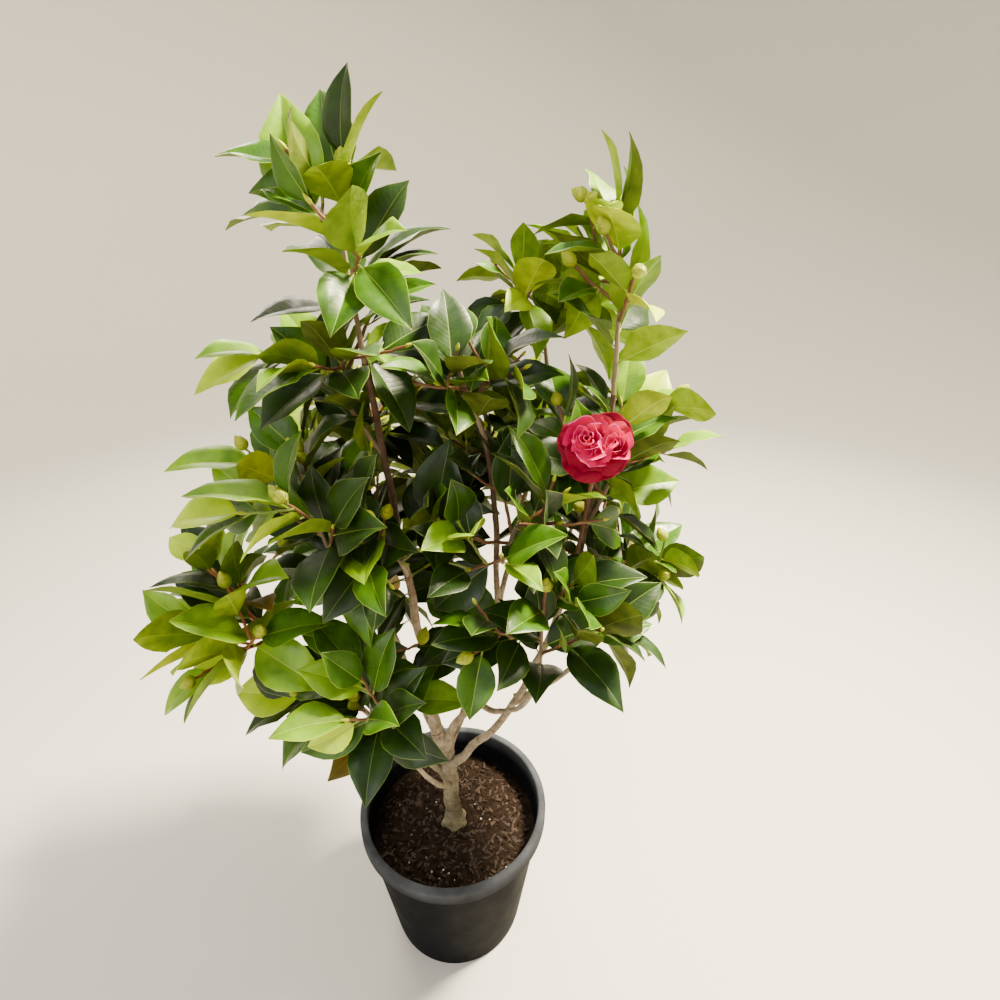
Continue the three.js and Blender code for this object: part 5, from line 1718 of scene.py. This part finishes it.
def open_petal(length, width, lean, turn, low, curve, cup, ruffle, seed):
    """A petal that leaves the middle leaning from the facing direction and curves on by its
    length. Its outline is broad with a faint notch; its halves cup and its rim waves."""
    t, w = petal_up, petal_over
    half = width * np.sin(np.pi * (0.1 + 0.66 * t**0.75)) ** 0.7
    reach = 1 - 0.2 * w**2 * t**2 - 0.05 * np.exp(-((w / 0.2) ** 2)) * t**4
    angle = lean + curve * t
    step = np.diff(t, axis=0, prepend=0) * length
    out = np.cumsum(np.sin(angle) * step, 0) * reach
    rise = np.cumsum(np.cos(angle) * step, 0) * reach
    lift = cup * half * w**2 + ruffle * t * waves(2.2 * w + 1.1 * t, 2.6 * t, 3.4, seed)
    out_way = np.array([math.cos(turn), math.sin(turn), 0])
    side_way = np.array([-math.sin(turn), math.cos(turn), 0])
    place = (out - lift * np.cos(angle))[..., None] * out_way + (half * w)[..., None] * side_way
    place[..., 2] += low + rise + lift * np.sin(angle)
    return place


def whorl_petal(centre, radius, height, spread, turn, flare, seed):
    """A petal of a whorl: a patch of a cup about the whorl's axis, which widens by a sine and
    flares or closes by the cube of its height; one side slips inside the next petal."""
    t, w = petal_up, petal_over
    foot = np.sin(np.pi * (0.12 + 0.62 * t**0.8)) ** 0.6
    angle = turn + spread * w * foot
    wave = waves(2.6 * w + 0.7 * t, 1.9 * t, 3.1, seed)
    out = radius * (0.35 + 0.65 * np.sin(np.pi / 2 * t**0.7)) + flare * t**3
    out = out + 0.13 * radius * w * t + 1.5 * wave * t**1.5 - 0.8 * w**4 * t
    rise = height * t * (1 - 0.22 * w**2) + 1.3 * wave * t
    place = np.stack([out * np.cos(angle), out * np.sin(angle), rise + 0 * angle], -1)
    return place + centre


draw = np.random.default_rng(61)
sheets = []
# Guard petals behind, longer to the sides than up and down, then a ring that stands half open.
# In turn: how many, length, half width, lean, curve, cup, ruffle, height and skin
for count, length, width, lean, curve, cup, ruffle, low, layer in (
    (6, 48, 24, 72, 20, -0.1, 3.0, -8, 0),
    (6, 43, 20, 54, 24, -0.3, 3.4, -7, 0),
    (8, 36, 15, 36, 34, -0.4, 2.6, -6, 1),
):
    for k in range(count):
        turn = 2 * math.pi * (k + 0.5 * layer) / count + draw.uniform(-0.2, 0.2) + lean
        longer = 1 - FLATTER * math.sin(turn) ** 2
        sheets.append((open_petal(
            length * longer * draw.uniform(0.8, 1.05), width * draw.uniform(0.85, 1.1),
            math.radians(lean + draw.uniform(-12, 12)), turn, low + 0.8 * (k % 2),
            math.radians(curve + draw.uniform(-10, 10)), cup, ruffle, 600 + 7 * len(sheets)), layer))
# Two main whorls of petals that close round each other like a rose, and a small one between
# them. Rings of each, in turn: radius, height, how many and flare
for centre, rings_of, first_turn in (
    (np.array([-9.0, 4.0, -3.0]), (
        (3.6, 24, 2, -0.6), (8, 25, 3, -1.0), (13, 24, 4, 1.0), (19, 20, 5, 5.5)), 0.4),
    (np.array([20.0, 3.0, -4.0]), ((3.4, 22, 2, -0.4), (7.6, 21, 3, 1.6), (12.5, 18, 4, 5.0)), 1.7),
    (np.array([6.0, -7.0, -4.0]), ((4.0, 17, 3, 2.0), (7.5, 16, 4, 3.0)), 0.9),
):
    for number, (radius, height, count, flare) in enumerate(rings_of):
        for k in range(count):
            sheets.append((whorl_petal(
                centre, radius * draw.uniform(0.93, 1.07), height * draw.uniform(0.82, 1.08),
                math.pi / count * draw.uniform(1.05, 1.3),
                first_turn + 2 * math.pi * k / count + 0.9 * number + draw.uniform(-0.35, 0.35),
                flare, 800 + 11 * len(sheets)), 2 if number < 3 else 1))
frame_up = unit(UP - (UP @ BLOOM_FACING) * BLOOM_FACING)
frame_right = np.cross(frame_up, BLOOM_FACING)
bloom_axes = np.array([frame_right, frame_up, BLOOM_FACING])
rows, columns = PETAL_GRID
corners = np.array([sheet for sheet, _ in sheets]) @ bloom_axes + BLOOM_CENTRE
faces = grid_quads(rows, columns, False)
on_edge = np.zeros((rows - 1, columns - 1), bool)
on_edge[-1] = True
layer = np.array([layer for _, layer in sheets])
# Pale pink rims on a share of the inner petals: partly the petals' own paler edge, partly a painted
# highlight where light catches the rim
rimmed = (layer > 0) & (draw.random(len(sheets)) < PALE_RIMS)
numbers = np.where(on_edge.ravel()[None] & rimmed[:, None], 3, layer[:, None])

petal_skins = []
for name, dark, light in (
    # The guard petals' darker crimson is painted shade
    ("dark crimson guard petal", "#560014", "#98002c"),
    ("crimson petal", "#a00038", "#de005c"),
    ("bright crimson inner petal", "#c40054", "#f8047c"),
    ("pale pink petal edge", "#d83c7c", "#fa74a8"),
):
    material, shader = new_material(name, light, 0.55, Specular_IOR_Level=0.12)
    # Soft satin flesh, clouded along fine veins that run up the petal
    place = add_node(material, "TexCoord", {}, {})
    long_ways = add_node(material, "Mapping", {}, {
        "Vector": place.outputs["UV"], "Scale": (34.0, 3.0, 1.0)})
    veins = clouded(material, shader, long_ways.outputs[0], 1.0, 3.0, dark, light)
    bump = add_node(material, "Bump", {}, {"Height": veins, "Strength": 0.35, "Distance": 0.0006})
    feed(material, shader, "Normal", bump.outputs[0])
    petal_skins.append(material)

count = len(sheets)
petal_quads = (faces[None] + rows * columns * np.arange(count)[:, None, None]).reshape(-1, 4)
piece = add_piece(
    "bloom_petals", MM * corners.reshape(-1, 3), [petal_quads], petal_skins, numbers.ravel())
grid = np.stack(np.meshgrid(np.linspace(0, 1, columns), np.linspace(0, 1, rows)), -1)
add_uv(piece, np.broadcast_to(grid, (count, *grid.shape)).reshape(-1, 2))
wall = piece.modifiers.new("petal thickness", "SOLIDIFY")
wall.thickness = PETAL_THICKNESS * MM
wall.offset = 0
smooth = piece.modifiers.new("rounded petals", "SUBSURF")
smooth.levels = smooth.render_levels = 1
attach(piece, "root")
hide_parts("bloom")

# Its twig leaves the right stem and ends in the sepals that hold the petals from behind
span = bloom_back - bloom_foot
bloom_twig = {
    "start": bloom_foot, "heading": unit(span) - SHOOT_RISE * UP, "length": np.linalg.norm(span)}
share = np.linspace(0, 1, BLOOM_TWIG_ROWS)
points = shoot_point(bloom_twig, share)[None]
ways = shoot_way(bloom_twig, share)[None]
radii = BLOOM_TWIG_SLIM + BLOOM_TWIG_SWELLING * np.cos(share * BLOOM_TWIG_WAVE)
ring = tube(points, ways, radii[None, :, None], BLOOM_TWIG_SIDES)
sepal_frames = bud_frames([BLOOM_FACING])
sepal_base = np.array([BLOOM_CENTRE - SEPALS_BEHIND * BLOOM_FACING])
cup = bud_cores(sepal_base, sepal_frames, *np.array(SEPAL_CUP)[:, None])
sepals = bud_scales(sepal_base, sepal_frames, *np.array(SEPAL_SIZE)[:, None], SCALES, 62)
sepal_faces = shell_faces(SCALES, *SCALE_GRID)
stack = [ring.reshape(-1, 3), cup.reshape(-1, 3), sepals.reshape(-1, 3)]
firsts = np.cumsum([0] + [len(part) for part in stack])
twig_faces = tube_faces(1, BLOOM_TWIG_ROWS, BLOOM_TWIG_SIDES)
cup_faces = [part + firsts[1] for part in tube_faces(1, CORE_ROWS, CORE_SIDES)]
faces = [*twig_faces, *cup_faces, sepal_faces + firsts[2]]
numbers = np.concatenate([np.full(len(part), int(i >= 2)) for i, part in enumerate(faces)])
piece = add_piece(
    "bloom_twig_and_sepals",
    MM * np.concatenate(stack),
    faces,
    [twig_barks[1], bud_green],
    numbers,
    sharp=50,
)
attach(piece, "root")

sides = [[float(v) for v in side] for side in (cad_low, cad_high, *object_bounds())]
